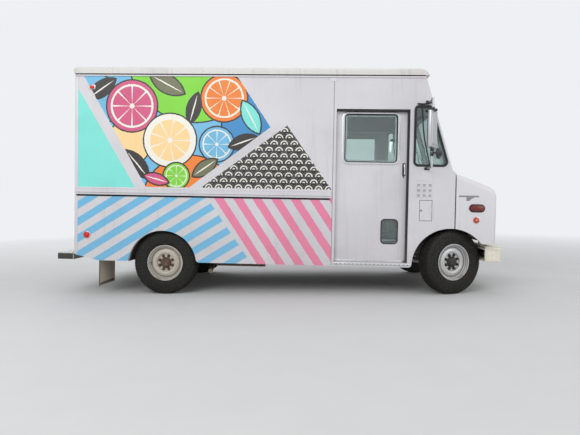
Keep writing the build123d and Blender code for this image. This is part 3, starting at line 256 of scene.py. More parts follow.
def dome(centre, axis, radius, height, sides=24, rings=10):
    """A half ball of a given height that stands on a surface and faces along an axis."""
    deselect()
    bpy.ops.mesh.primitive_uv_sphere_add(segments=sides, ring_count=rings, radius=radius)
    bpy.ops.object.mode_set(mode="EDIT")
    bpy.ops.mesh.select_all(action="SELECT")
    bpy.ops.mesh.bisect(plane_co=(0, 0, 0), plane_no=(0, 0, 1), clear_inner=True, use_fill=True)
    bpy.ops.object.mode_set(mode="OBJECT")
    bpy.context.object.scale = (1, 1, height / radius)
    bpy.context.object.location = centre
    return soften(facing(axis), 0)


def pipe(points, radius, sides=6):
    """A bent tube through points, made from a curve and turned into a mesh."""
    deselect()
    bpy.ops.curve.primitive_bezier_curve_add()
    piece = bpy.context.object
    spline = piece.data.splines[0]
    spline.bezier_points.add(len(points) - 2)
    for knot, point in zip(spline.bezier_points, points):
        knot.co = point
        knot.handle_left_type = "AUTO"
        knot.handle_right_type = "AUTO"
    piece.data.bevel_depth = radius
    piece.data.bevel_resolution = sides
    piece.data.resolution_u = 8
    piece.data.use_fill_caps = True
    bpy.ops.object.convert(target="MESH")
    return soften(bpy.context.object, 0)


def flat_face(points, y):
    """One face on an outline of (x, z) points, standing in the xz plane."""
    deselect()
    bpy.ops.mesh.primitive_circle_add(vertices=len(points), radius=1, fill_type="NGON")
    piece = bpy.context.object
    for vertex, (x, z) in zip(piece.data.vertices, points):
        vertex.co = (x, y, z)
    return piece


def outline(points, y, depth, width=0.003):
    """A flat plate cut to an outline of (x, z) points."""
    piece = flat_face(points, y)
    apply_modifier(piece, "SOLIDIFY", thickness=depth, offset=0)
    face_outwards(piece)
    return soften(piece, width)


def rounded(low, high, radius, steps=6):
    """The (x, z) outline of a rectangle with rounded corners."""
    points = []
    for corner, (cx, cz) in enumerate(
        ((high[0] - radius, high[1] - radius), (low[0] + radius, high[1] - radius),
         (low[0] + radius, low[1] + radius), (high[0] - radius, low[1] + radius))
    ):
        for step in range(steps + 1):
            angle = math.pi / 2 * (corner + step / steps)
            points.append((cx + radius * math.cos(angle), cz + radius * math.sin(angle)))
    return points


def frame_of(points, width, y, depth):
    """A flat border of a given width round an outline of (x, z) points."""
    piece = flat_face(points, y)
    bpy.ops.object.mode_set(mode="EDIT")
    bpy.ops.mesh.select_all(action="SELECT")
    bpy.ops.mesh.inset(thickness=width, depth=0)
    bpy.ops.mesh.delete(type="FACE")
    bpy.ops.object.mode_set(mode="OBJECT")
    apply_modifier(piece, "SOLIDIFY", thickness=depth, offset=0)
    face_outwards(piece)
    return soften(piece, min(depth * 0.3, 0.003))


def placed(piece, place):
    """Moves a piece by a matrix and applies it."""
    piece.matrix_world = place @ piece.matrix_world
    only(piece)
    apply_place()
    return piece


def join(pieces):
    """Joins pieces into the first one."""
    only(pieces[0])
    for piece in pieces:
        piece.select_set(True)
    if len(pieces) > 1:
        bpy.ops.object.join()
    return pieces[0]


def repeat(piece, places):
    """Puts a copy of a piece at each place, a matrix, and joins the copies."""
    made = []
    for place in places:
        copy = piece.copy()
        copy.data = piece.data.copy()
        bpy.context.scene.collection.objects.link(copy)
        copy.matrix_world = place
        made.append(copy)
    only(piece)
    bpy.ops.object.delete()
    whole = join(made)
    apply_place()
    return whole


def settle(pieces, name, finish, body="body", place=STANCE):
    """Joins finished pieces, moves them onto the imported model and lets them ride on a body."""
    piece = placed(join(pieces) if isinstance(pieces, list) else pieces, place)
    piece.name = name
    piece.data.name = name
    piece.data.materials.clear()
    piece.data.materials.append(MATERIALS[finish])
    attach(piece, body)
    return piece


# Shader helpers


def plain(node, **values):
    """Sets a node's own sockets to plain values, with _ for a space in their names."""
    for label, value in values.items():
        node.inputs[label.replace("_", " ")].default_value = value


class Graph:
    """Adds nodes to a tree with few words. Values may be sockets or plain numbers."""

    def __init__(self, tree):
        self.tree = tree

    def node(self, kind, **settings):
        made = self.tree.nodes.new(kind)
        for setting, value in settings.items():
            setattr(made, setting, value)
        return made

    def link(self, value, socket):
        if isinstance(value, bpy.types.NodeSocket):
            self.tree.links.new(value, socket)
        elif isinstance(value, (tuple, list, Vector)) and socket.type == "RGBA":
            socket.default_value = (*tuple(value)[:3], 1)
        else:
            socket.default_value = value

    def math(self, operation, first, second=0.0, clamp=False):
        made = self.node("ShaderNodeMath", operation=operation, use_clamp=clamp)
        self.link(first, made.inputs[0])
        self.link(second, made.inputs[1])
        return made.outputs[0]

    def plus(self, first, second, clamp=False):
        return self.math("ADD", first, second, clamp)

    def minus(self, first, second, clamp=False):
        return self.math("SUBTRACT", first, second, clamp)

    def times(self, first, second, clamp=False):
        return self.math("MULTIPLY", first, second, clamp)

    def over(self, first, second):
        return self.math("DIVIDE", first, second)

    def above(self, first, second):
        return self.math("GREATER_THAN", first, second)

    def below(self, first, second):
        return self.math("LESS_THAN", first, second)

    def size_of(self, value):
        return self.math("ABSOLUTE", value)

    def vector(self, operation, first, second=None):
        made = self.node("ShaderNodeVectorMath", operation=operation)
        self.link(first, made.inputs[0])
        if second is not None:
            self.link(second, made.inputs[1])
        single = operation in ("DOT_PRODUCT", "DISTANCE", "LENGTH")
        return made.outputs["Value" if single else "Vector"]

    def mix(self, factor, first, second, blend="MIX"):
        made = self.node("ShaderNodeMix", data_type="RGBA", blend_type=blend)
        self.link(factor, made.inputs[0])
        self.link(first, made.inputs[6])
        self.link(second, made.inputs[7])
        return made.outputs[2]

    def noise(self, place, scale, detail=4.0, roughness=0.5):
        made = self.node("ShaderNodeTexNoise")
        self.link(place, made.inputs["Vector"])
        self.link(scale, made.inputs["Scale"])
        plain(made, Detail=detail, Roughness=roughness)
        return made.outputs["Fac"]

    def cells(self, place, scale):
        made = self.node("ShaderNodeTexVoronoi")
        self.link(place, made.inputs["Vector"])
        plain(made, Scale=scale)
        return made.outputs["Distance"]

    def band(self, value, low, high, bottom=0.0, top=1.0):
        """Maps low..high of a value to bottom..top and holds it there."""
        made = self.node("ShaderNodeMapRange", clamp=True)
        self.link(value, made.inputs["Value"])
        plain(made, From_Min=low, From_Max=high, To_Min=bottom, To_Max=top)
        return made.outputs["Result"]

    def place(self):
        """The point on the piece, in the row frame."""
        return self.node("ShaderNodeTexCoord").outputs["Object"]

    def level_place(self):
        """The point on the level truck, from the rear axle."""
        shifted = self.vector("ADD", self.place(), (REAR_AXLE_TO_MIDDLE, 0, -TYRE_RADIUS))
        return self.mapped(shifted, Rotation=(0, -RAKE, 0), Location=(0, 0, TYRE_RADIUS))

    def mapped(self, place, **settings):
        made = self.node("ShaderNodeMapping")
        self.link(place, made.inputs["Vector"])
        plain(made, **settings)
        return made.outputs["Vector"]

    def split(self, place):
        made = self.node("ShaderNodeSeparateXYZ")
        self.link(place, made.inputs[0])
        return made.outputs


def group_of(name, inputs, outputs):
    """A new shader node group, its graph and its end nodes."""
    tree = bpy.data.node_groups.new(name, "ShaderNodeTree")
    for label, default in inputs.items():
        coloured = isinstance(default, tuple)
        kind = "NodeSocketColor" if coloured else "NodeSocketFloat"
        socket = tree.interface.new_socket(name=label, in_out="INPUT", socket_type=kind)
        socket.default_value = (*default, 1) if coloured else default
    for label in outputs:
        kind = "NodeSocketColor" if label == "Color" else "NodeSocketFloat"
        tree.interface.new_socket(name=label, in_out="OUTPUT", socket_type=kind)
    graph = Graph(tree)
    start = graph.node("NodeGroupInput")
    end = graph.node("NodeGroupOutput")
    return tree, graph, start.outputs, end.inputs


def grime_group():
    """Road dust that thickens towards the ground, stains, and a fine uneven surface."""
    tree, graph, given, out = group_of(
        "Road grime",
        {"Base": (0.8, 0.8, 0.8), "Gloss": 0.4, "Dust": 0.5, "Stains": 0.3, "Grain": 60.0},
        ("Color", "Roughness", "Height"),
    )
    place = graph.place()
    height = graph.split(place)[2]
    broad = graph.noise(place, 2.2, 5, 0.6)
    fine = graph.noise(place, 34, 6, 0.65)
    speck = graph.band(graph.noise(place, 210, 3, 0.6), 0.62, 0.72)
    low = graph.band(height, 0.25, 1.25, 1.0, 0.0)
    low = graph.math("POWER", low, 1.7)
    dusty = graph.times(graph.times(low, given["Dust"]), graph.band(fine, 0.3, 0.7, 0.35, 1.0))
    stained = graph.times(graph.band(broad, 0.52, 0.72), given["Stains"])
    streaks = graph.mapped(place, Scale=(26, 26, 0.9))
    run = graph.band(graph.noise(streaks, 1.0, 4, 0.6), 0.56, 0.75)
    run = graph.times(run, graph.times(given["Stains"], 0.55))
    shade = graph.mix(graph.times(stained, 0.35), given["Base"], (0.42, 0.38, 0.33), "MULTIPLY")
    shade = graph.mix(run, shade, (0.5, 0.47, 0.43), "MULTIPLY")
    shade = graph.mix(dusty, shade, (0.30, 0.255, 0.20))
    shade = graph.mix(graph.times(speck, graph.times(given["Dust"], 0.4)), shade, (0.2, 0.17, 0.14))
    graph.link(shade, out["Color"])
    rough = graph.plus(given["Gloss"], graph.times(dusty, 0.35))
    rough = graph.plus(rough, graph.band(broad, 0.3, 0.7, -0.05, 0.08), clamp=True)
    graph.link(rough, out["Roughness"])
    grain = graph.noise(place, given["Grain"], 3)
    tall = graph.plus(grain, graph.times(dusty, 0.6))
    graph.link(tall, out["Height"])
    return tree


def rust_group():
    """Chips that show rusty metal through the paint."""
    tree, graph, given, out = group_of(
        "Rust chips", {"Base": (0.5, 0.5, 0.5), "Amount": 0.3, "Scale": 14.0}, ("Color", "Mask"),
    )
    place = graph.place()
    spots = graph.noise(place, given["Scale"], 8, 0.68)
    edge = graph.minus(0.78, graph.times(given["Amount"], 0.3))
    mask = graph.times(graph.minus(spots, edge), 26, clamp=True)
    tint = graph.mix(graph.noise(place, 90, 4), (0.11, 0.035, 0.015), (0.30, 0.12, 0.045))
    graph.link(graph.mix(mask, given["Base"], tint), out["Color"])
    graph.link(mask, out["Mask"])
    return tree


GROUPS = {}
MATERIALS = {}


def feed(graph, shader, shade, rough):
    """Links a colour and a roughness to the shader."""
    graph.link(shade, shader.inputs["Base Color"])
    graph.link(rough, shader.inputs["Roughness"])


def grimed(graph, shader, base, gloss, dust, stains, grain):
    """Lays grime over a base colour, feeds the shader and gives the grime's outputs."""
    grime = use_group(
        graph, "grime", Base=base, Gloss=gloss, Dust=dust, Stains=stains, Grain=grain,
    )
    feed(graph, shader, grime["Color"], grime["Roughness"])
    return grime


def chipped(graph, shader, base, metallic, amount, scale):
    """Opens rust chips in a base colour, which aren't metallic, and gives colour and mask."""
    chips = use_group(graph, "rust", Base=base, Amount=amount, Scale=scale)
    if metallic:
        whole = graph.times(graph.minus(1, chips["Mask"]), metallic)
        graph.link(whole, shader.inputs["Metallic"])
    return chips["Color"], chips["Mask"]


def use_group(graph, name, **given):
    """Places a node group and sets or links its inputs."""
    made = graph.node("ShaderNodeGroup", node_tree=GROUPS[name])
    for label, value in given.items():
        graph.link(value, made.inputs[label])
    return made.outputs


def start_material(name):
    """Begins a material and gives its graph and its Principled shader."""
    material = bpy.data.materials.new(name)
    material.use_nodes = True
    MATERIALS[name] = material
    return Graph(material.node_tree), material.node_tree.nodes["Principled BSDF"]


def bump(graph, shader, height, strength=0.2, distance=0.002):
    """Feeds a height through a Bump node into the shader's normal."""
    made = graph.node("ShaderNodeBump")
    plain(made, Strength=strength, Distance=distance)
    graph.link(height, made.inputs["Height"])
    graph.link(made.outputs["Normal"], shader.inputs["Normal"])


def painted(name, base, gloss=0.4, dust=0.5, stains=0.3, **more):
    """A worn, dusty surface of one colour."""
    graph, shader = start_material(name)
    dress(graph, shader, base, gloss, dust, stains, **more)


def dress(graph, shader, base, gloss, dust, stains, metallic=0.0, rust=0.0, grain=60.0,
          strength=0.12, rust_scale=14.0):
    """Lays rust and grime over a base colour and wires up the shader."""
    if rust:
        base, mask = chipped(graph, shader, base, metallic, rust, rust_scale)
    else:
        plain(shader, Metallic=metallic)
    grime = grimed(graph, shader, base, gloss, dust, stains, grain)
    if rust:
        rough = graph.math("MAXIMUM", grime["Roughness"], graph.times(mask, 0.85))
        graph.link(rough, shader.inputs["Roughness"])
    bump(graph, shader, grime["Height"], strength)


# Artwork on the sides


def beyond(graph, place, start, end):
    """1 to the left of the line from start to end, seen with x to the right and z up."""
    dx, dz = end[0] - start[0], end[1] - start[1]
    size = math.hypot(dx, dz)
    normal = (-dz / size, 0, dx / size)
    offset = normal[0] * start[0] + normal[2] * start[1]
    return graph.above(graph.vector("DOT_PRODUCT", place, normal), offset)


def all_of(graph, masks):
    """Where every mask is 1."""
    whole = masks[0]
    for mask in masks[1:]:
        whole = graph.times(whole, mask)
    return whole


def polygon(graph, place, corners):
    """Inside a convex outline whose corners run anticlockwise."""
    pairs = zip(corners, corners[1:] + corners[:1])
    return all_of(graph, [beyond(graph, place, a, b) for a, b in pairs])


def disc(graph, place, centre, radius):
    """Inside a circle."""
    away = graph.vector("DISTANCE", place, (centre[0], 0, centre[1]))
    return graph.below(away, radius)


def leaf(graph, place, centre, length, width, angle):
    """Inside a pointed leaf: the overlap of two circles."""
    half = length / 2
    radius = (half * half + width * width / 4) / width
    off = radius - width / 2
    nx, nz = -math.sin(angle), math.cos(angle)
    first = disc(graph, place, (centre[0] + nx * off, centre[1] + nz * off), radius)
    second = disc(graph, place, (centre[0] - nx * off, centre[1] - nz * off), radius)
    return graph.times(first, second)


def wedges(graph, place, centre, count, width):
    """The thin spokes between the segments of a cut fruit."""
    x, _, z = graph.split(place)[:3]
    dx = graph.minus(x, centre[0])
    dz = graph.minus(z, centre[1])
    angle = graph.math("ARCTAN2", dz, dx)
    wave = graph.size_of(graph.math("SINE", graph.times(angle, count / 2)))
    return graph.below(wave, width)


# Picture blocks, drawn in order: kind, x, z, size, second size, turn in degrees, colour.
# The size is a disc's radius or a leaf's length, and the second size is a leaf's width.
PICTURE = (
    ("disc", 0.35, 2.86, 0.80, 0, 0, "lime"),
    ("disc", -0.90, 2.30, 0.33, 0, 0, "sky"),
    ("disc", 0.30, 1.10, 0.56, 0, 0, "orange"),
    ("disc", 1.20, 1.98, 0.52, 0, 0, "blue"),
    ("disc", -0.44, 1.80, 0.26, 0, 0, "cream"),
    ("fruit", -0.40, 2.24, 0.30, 8, 0, "rose"),
    ("leaf", -0.77, 2.44, 0.40, 0.17, 35, "charcoal"),
    ("leaf", 0.02, 2.50, 0.46, 0.20, -28, "olive"),
    ("fruit", 0.70, 2.34, 0.27, 10, 12, "orange"),
    ("leaf", 1.02, 2.12, 0.42, 0.18, 118, "turquoise"),
    ("leaf", 0.34, 2.22, 0.36, 0.15, 75, "charcoal"),
    ("fruit", 0.06, 1.84, 0.31, 9, 5, "milk"),
    ("leaf", -0.33, 1.55, 0.42, 0.17, 130, "charcoal"),
    ("fruit", 0.62, 1.80, 0.20, 8, 20, "sky"),
    ("leaf", 0.48, 1.52, 0.34, 0.15, 35, "olive"),
    ("leaf", 0.93, 1.83, 0.34, 0.15, 20, "charcoal"),
    ("fruit", 0.14, 1.42, 0.15, 8, 0, "lime"),
    ("leaf", -0.10, 1.38, 0.30, 0.12, -15, "rose"),
)
OUTLINE = 0.017
FRAME_TOP = 2.70
PICTURE_ZONE = (
    (-1.05, FRAME_TOP), (-0.226, 1.285), (0.293, 1.285), (1.253, 2.006), (0.78, FRAME_TOP),
)
CORNER_BLOCK = ((-1.2, 2.69), (-1.2, 1.20), (-0.30, 1.20), (-1.082, 2.493))
SCALE_PATCH = ((0.437, 1.285), (1.981, 1.285), (1.448, 2.028))


def paint_picture(graph, place, ground):
    """Draws the picture blocks over a ground colour, each with a dark outline."""
    milk, dark = colour("milk"), colour("charcoal")
    for kind, x, z, size, second, tilt, shade in PICTURE:
        tint, spot, angle = colour(shade), (x, z), math.radians(tilt)
        if kind == "leaf":
            outer = leaf(graph, place, spot, size + 3 * OUTLINE, second + 2 * OUTLINE, angle)
            layers = [
                (outer, dark), (leaf(graph, place, spot, size, second, angle), tint),
                (leaf(graph, place, spot, size * 0.9, 0.016, angle), milk),
            ]
        else:
            layers = [
                (disc(graph, place, spot, size + OUTLINE), dark),
                (disc(graph, place, spot, size), tint),
            ]
        if kind == "fruit":
            spokes = wedges(graph, place, spot, second, 0.16)
            spokes = graph.times(disc(graph, place, spot, size * 0.79), spokes)
            flesh = graph.minus(disc(graph, place, spot, size * 0.78), spokes, clamp=True)
            layers += [
                (disc(graph, place, spot, size * 0.86), milk),
                (flesh, colour("cream") if shade == "milk" else tint),
                (disc(graph, place, spot, size * 0.1), milk),
            ]
        for mask, layer in layers:
            ground = graph.mix(mask, ground, layer)
    return ground


def stripes(graph, place, slope, start_x, start_z, pitch, share):
    """Slanted stripes. slope is the way they rise to the front, in degrees."""
    angle = math.radians(slope)
    across = (math.sin(angle), 0, -math.cos(angle))
    offset = across[0] * start_x + across[2] * start_z
    away = graph.minus(graph.vector("DOT_PRODUCT", place, across), offset)
    turns = graph.over(away, abs(pitch * math.sin(angle)))
    shifted = graph.math("FRACT", graph.plus(turns, share / 2 + 20))
    return graph.below(shifted, share)


def scales(graph, place):
    """Rows of round scales with arcs inside, in black, grey and white."""
    x, _, z = graph.split(place)[:3]
    row = graph.over(graph.minus(z, 1.285), 0.0745)
    floor = graph.math("FLOOR", row)
    odd = graph.times(graph.math("MODULO", floor, 2), 0.5)
    column = graph.math("FRACT", graph.plus(graph.over(x, 0.1180), graph.plus(odd, 30)))
    across = graph.times(graph.minus(column, 0.5), 1.0)
    up = graph.times(graph.math("FRACT", row), 0.62)
    away = graph.math("SQRT", graph.plus(graph.times(across, across), graph.times(up, up)))
    arcs = graph.above(graph.math("SINE", graph.times(away, 24)), 0.0)
    body = graph.mix(arcs, (0.016, 0.015, 0.014), (0.74, 0.72, 0.66))
    rim = graph.above(away, 0.53)
    return graph.mix(rim, body, (0.016, 0.015, 0.014))


def side_paint():
    """The body's paint: white, with the picture, the scales and two sets of stripes."""
    measures = sizes()
    graph, shader = start_material("side_paint")
    level = graph.level_place()
    x, y, z = graph.split(level)[:3]
    ragged = graph.noise(graph.place(), 40, 3)
    flat = graph.node("ShaderNodeCombineXYZ")
    wobble = graph.band(ragged, 0.3, 0.7, -0.002, 0.002)
    graph.link(graph.plus(x, wobble), flat.inputs[0])
    graph.link(graph.plus(z, wobble), flat.inputs[2])
    place = flat.outputs[0]
    white = colour("white")
    mottled = graph.mix(
        graph.band(graph.noise(graph.place(), 1.3, 4), 0.35, 0.65),
        white, tuple(part * 0.90 for part in white),
    )
    outside = graph.above(graph.size_of(y), 1.02)
    upper = graph.above(z, BELT_TOP)
    lower = graph.below(z, BELT_LOW)
    behind_seam = graph.below(x, SEAM_X)
    low_side = graph.times(lower, behind_seam)
    base = mottled
    # Lower stripes
    blue = stripes(graph, place, 32, -0.579, 1.148, measures.stripe_pitch, 0.50)
    blue = all_of(graph, [blue, low_side, beyond(graph, place, (1.05, 0.40), (0.49, 1.20))])
    pink = stripes(graph, place, -56, 0.901, 1.133, measures.pink_pitch, 0.50)
    pink = all_of(graph, [
        pink, low_side, beyond(graph, place, (0.56, 1.20), (1.11, 0.40)),
    ])
    base = graph.mix(blue, base, colour("sky"))
    base = graph.mix(graph.times(pink, 0.92), base, colour("pink"))
    # Upper blocks
    corner = graph.times(polygon(graph, place, CORNER_BLOCK), upper)
    base = graph.mix(corner, base, colour("turquoise"))
    zone = graph.times(polygon(graph, place, PICTURE_ZONE), upper)
    picture = paint_picture(graph, place, colour("sky"))
    base = graph.mix(zone, base, picture)
    patch = graph.times(polygon(graph, place, SCALE_PATCH), upper)
    base = graph.mix(patch, base, scales(graph, place))
    base = graph.mix(outside, mottled, base)
    dress(graph, shader, base, 0.42, measures.dust * 0.5, 0.35, rust=0.12, rust_scale=30.0,
          strength=0.10)


# Finishes of the CAD pieces


def glass_material(name, tint, clear=0.85, rough=0.01, dusty=0.5):
    """Tinted glass with dust and wiped smears."""
    graph, shader = start_material(name)
    place = graph.place()
    smear = graph.noise(place, 3.0, 6, 0.62)
    specks = graph.band(graph.noise(place, 160, 3), 0.6, 0.7)
    haze = graph.times(graph.band(smear, 0.4, 0.75), dusty)
    shade = graph.mix(graph.times(haze, 0.4), tint, (0.62, 0.60, 0.56))
    mist = graph.plus(rough, graph.times(haze, 0.06))
    feed(graph, shader, shade, graph.plus(mist, graph.times(specks, 0.02)))
    plain(shader, Transmission_Weight=clear, IOR=1.05, Specular_IOR_Level=0.9, Coat_Weight=1.0,
          Coat_Roughness=0.03)


def chequer_material(name, base):
    """Worn aluminium tread plate with crossed raised bars."""
    graph, shader = start_material(name)
    x, y = graph.split(graph.place())[:2]
    masks = []
    for sign, lead in ((1, 0.0), (-1, 0.5)):
        along = graph.plus(x, graph.times(y, sign))
        across = graph.minus(x, graph.times(y, sign))
        row = graph.over(across, 0.036)
        step = graph.plus(graph.math("FLOOR", row), lead)
        seen = graph.math("FRACT", graph.plus(graph.over(along, 0.072), graph.times(step, 0.5)))
        mid = graph.size_of(graph.minus(graph.math("FRACT", row), 0.5))
        end = graph.size_of(graph.minus(seen, 0.5))
        inside = graph.plus(graph.times(mid, 4.2), graph.times(end, 2.6))
        masks.append(graph.band(inside, 0.85, 1.05, 1.0, 0.0))
    bars = graph.math("MAXIMUM", masks[0], masks[1])
    worn = graph.mix(bars, base, tuple(min(1, part * 1.5) for part in base))
    grime = grimed(graph, shader, worn, 0.34, 0.7, 0.8, 90.0)
    plain(shader, Metallic=0.85)
    bump(graph, shader, graph.plus(bars, graph.times(grime["Height"], 0.1)), 0.8, 0.003)


def brushed(name, base, gloss=0.3, axis=0, metallic=1.0, dust=0.25, rust=0.0):
    """Brushed metal with fine lines along one axis."""
    graph, shader = start_material(name)
    scale = [220.0, 220.0, 220.0]
    scale[axis] = 6.0
    lines = graph.noise(graph.mapped(graph.place(), Scale=scale), 1.0, 3)
    shade = graph.mix(graph.band(lines, 0.35, 0.65), base, tuple(part * 0.8 for part in base))
    if rust:
        shade, _ = chipped(graph, shader, shade, metallic, rust, 26.0)
    else:
        plain(shader, Metallic=metallic)
    grimed(graph, shader, shade, gloss, dust, 0.4, 120.0)
    bump(graph, shader, lines, 0.06, 0.0005)


def vinyl_material(name, base):
    """Grained seat vinyl with rubbed high spots."""
    graph, shader = start_material(name)
    place = graph.place()
    grain = graph.cells(place, 420)
    rub = graph.band(graph.noise(place, 7, 5), 0.5, 0.75)
    shade = graph.mix(graph.times(rub, 0.5), base, tuple(part * 2.2 + 0.02 for part in base))
    feed(graph, shader, shade, graph.band(rub, 0, 1, 0.5, 0.32))
    bump(graph, shader, grain, 0.35, 0.0008)


def lens_material(name, base):
    """Ribbed coloured lamp plastic."""
    graph, shader = start_material(name)
    x, y, z = graph.split(graph.place())[:3]
    ribs = graph.math("SINE", graph.times(z, 900))
    grid = graph.times(ribs, graph.math("SINE", graph.times(graph.plus(x, y), 900)))
    shade = graph.mix(graph.band(grid, -1, 1), tuple(part * 0.55 for part in base), base)
    grimed(graph, shader, shade, 0.14, 0.08, 0.2, 60.0)
    plain(shader, Coat_Weight=0.35, Coat_Roughness=0.06, Specular_IOR_Level=0.3)
    bump(graph, shader, grid, 0.25, 0.001)


def lamp_glass_material(name):
    """Clear pressed glass with upright flutes and a little road dust."""
    graph, shader = start_material(name)
    place = graph.place()
    _, y, z = graph.split(place)[:3]
    dust = graph.band(graph.noise(place, 24, 4), 0.5, 0.8, 0.0, 0.3)
    shade = graph.mix(dust, (0.94, 0.96, 0.96), (0.60, 0.57, 0.50))
    feed(graph, shader, shade, graph.plus(0.02, graph.times(dust, 0.3)))
    plain(shader, Transmission_Weight=0.92, IOR=1.45)
    flutes = graph.size_of(graph.math("SINE", graph.times(y, 260)))
    bands = graph.size_of(graph.math("SINE", graph.times(z, 80)))
    bump(graph, shader, graph.plus(flutes, graph.times(bands, 0.4)), 0.7, 0.002)


def tyre_material(name):
    """Weathered tyre rubber with patches of dust."""
    graph, shader = start_material(name)
    place = graph.place()
    fine = graph.noise(place, 46, 5, 0.65)
    broad = graph.noise(place, 5, 4)
    dust = graph.times(graph.band(fine, 0.42, 0.7), graph.band(broad, 0.3, 0.7, 0.35, 0.9))
    shade = graph.mix(graph.times(dust, 0.55), (0.011, 0.011, 0.010), (0.085, 0.076, 0.064))
    feed(graph, shader, shade, graph.band(dust, 0, 1, 0.62, 0.92))
    plain(shader, Specular_IOR_Level=0.18)
    bump(graph, shader, fine, 0.3, 0.0015)


def build_finishes():
    """Makes every shared material."""
    GROUPS["grime"] = grime_group()
    GROUPS["rust"] = rust_group()
    dust = sizes().dust
    side_paint()
    painted("white_paint", colour("white"), 0.4, dust * 0.6, 0.35, rust=0.12, rust_scale=30.0,
            strength=0.1)
    painted("roof_paint", colour("roof"), 0.45, 0.1, 0.6, rust=0.1)
    painted("bumper_paint", colour("bumper"), 0.42, dust, 0.5, rust=0.45, strength=0.2)
    painted("wheel_paint", colour("wheel"), 0.36, dust * 1.2, 0.8, rust=0.38, rust_scale=36.0,
            strength=0.2)
    painted("front_wheel_paint", linear(206, 208, 210), 0.3, dust * 0.8, 0.6, metallic=0.25,
            rust=0.2, rust_scale=36.0, strength=0.15)
    painted("frame_paint", (0.028, 0.027, 0.026), 0.62, dust * 1.3, 0.4, rust=0.5, rust_scale=9.0,
            strength=0.35)
    painted("hub_rust", (0.085, 0.036, 0.024), 0.8, 0.25, 0.6, metallic=0.2, rust=0.7,
            rust_scale=22.0, strength=0.5)
    painted("hub_black", (0.012, 0.011, 0.011), 0.62, 0.12, 0.4, rust=0.15, grain=120.0,
            strength=0.3)
    painted("engine_iron", (0.07, 0.068, 0.066), 0.55, 0.5, 0.9, metallic=0.5, rust=0.4,
            strength=0.4)
    painted("galvanised", (0.42, 0.42, 0.40), 0.48, dust, 0.8, metallic=0.8, rust=0.45,
            strength=0.25)
    painted("black_plastic", (0.022, 0.022, 0.023), 0.42, dust * 0.5, 0.2, grain=300.0,
            strength=0.2)
    painted("black_rubber", (0.014, 0.014, 0.014), 0.7, dust * 0.5, 0.2, grain=180.0, strength=0.25)
    # Tan mud flap rubber, lightened beyond its own colour as painted sunlight, for flaps that hang
    # in shade under the body.
    painted("flap_rubber", (0.74, 0.66, 0.53), 0.7, dust, 0.8, grain=120.0, strength=0.3)
    # Near black, for the painted shadow lines under the gutters and the belt rail, and for the
    # doorway sill's rivets.
    painted("dark_gap", (0.008, 0.008, 0.009), 0.9, 0.1, 0.1, grain=120.0)
    # Dark grey for the panel seams, and for painted shade in the rims' grooves and painted shadow
    # along the nose's side creases.
    painted("seam_line", (0.24, 0.23, 0.24), 0.6, 0.3, 0.8, grain=120.0)
    # Grey of the painted shade inside the cowl vent's pressed squares.
    painted("vent_grey", (0.40, 0.40, 0.42), 0.6, 0.3, 0.8, grain=120.0)
    painted("interior_white", (0.55, 0.54, 0.52), 0.5, 0.2, 0.7, grain=90.0)
    painted("cab_grey", (0.13, 0.135, 0.14), 0.6, 0.3, 0.6, grain=200.0, strength=0.25)
    brushed("steel_sheet", (0.56, 0.56, 0.57), 0.28, 0, dust=0.1)
    brushed("aluminium_trim", (0.66, 0.66, 0.67), 0.32, 2, dust=0.2)
    brushed("mirror_shell", (0.50, 0.51, 0.53), 0.34, 2, metallic=0.7, dust=0.2)
    brushed("chrome", (0.80, 0.80, 0.82), 0.08, 2, dust=0.08)
    brushed("bolt_steel", (0.30, 0.28, 0.26), 0.45, 2, dust=0.4, rust=0.5)
    brushed("exhaust_steel", (0.20, 0.16, 0.13), 0.55, 0, metallic=0.8, dust=0.5, rust=0.75)
    chequer_material("floor_plate", (0.24, 0.24, 0.24))
    chequer_material("step_plate", (0.34, 0.34, 0.34))
    vinyl_material("seat_vinyl", (0.028, 0.028, 0.032))
    vinyl_material("seat_side", (0.05, 0.048, 0.046))
    lens_material("red_lens", (0.80, 0.008, 0.010))
    lens_material("dark_red_lens", (0.20, 0.018, 0.014))
    lens_material("orange_lens", (0.66, 0.085, 0.015))
    lens_material("amber_lens", (0.85, 0.20, 0.02))
    lens_material("clear_lens", (0.75, 0.77, 0.78))
    lamp_glass_material("lamp_glass")
    glass_material("cab_window", (0.70, 0.82, 0.80), 0.94)
    glass_material("dark_window", (0.05, 0.06, 0.055), 0.35, 0.08, 0.9)
    tyre_material("tyre_rubber")


NODE_FINISH = (
    ("side_paint", ("side_wall_left", "side_wall_right", "serving_hatch", "sliding_door_left",
                    "sliding_door_right", "fuel_door")),
    ("white_paint", ("rear_frame", "rear_door_left", "rear_door_right", "cab_front", "nose_shell")),
    ("roof_paint", ("roof",)),
    ("cab_window", ("cab_glass", "sliding_door_glass_left", "sliding_door_glass_right",
                    "rear_door_glass_left", "rear_door_glass_right")),
    ("chrome", ("headlamps",)),
    ("bumper_paint", ("front_bumper",)),
    ("galvanised", ("rear_bumper",)),
    ("floor_plate", ("floor",)),
    ("frame_paint", ("frame_rails", "cross_members", "front_axle", "rear_axle", "driveshaft",
                     "fuel_tank", "radiator", "knuckle_left", "knuckle_right", "tie_rod")),
    ("engine_iron", ("engine_block",)),
    ("exhaust_steel", ("exhaust",)),
    ("aluminium_trim", ("grille", "door_rails")),
    ("cab_grey", ("engine_cover", "dashboard")),
    ("black_plastic", ("steering_wheel",)),
    ("seat_side", ("driver_seat",)),
    ("mirror_shell", ("mirrors",)),
    ("red_lens", ("lamps",)),
    ("flap_rubber", ("mud_flaps",)),
    ("steel_sheet", ("kitchen_counters", "cooker", "extract_hood")),
    ("tyre_rubber", ("tyre_front_left", "tyre_front_right", "tyre_rear_left", "tyre_rear_right")),
    ("front_wheel_paint", ("wheel_front_left", "wheel_front_right")),
    ("wheel_paint", ("wheel_rear_left", "wheel_rear_right")),
)


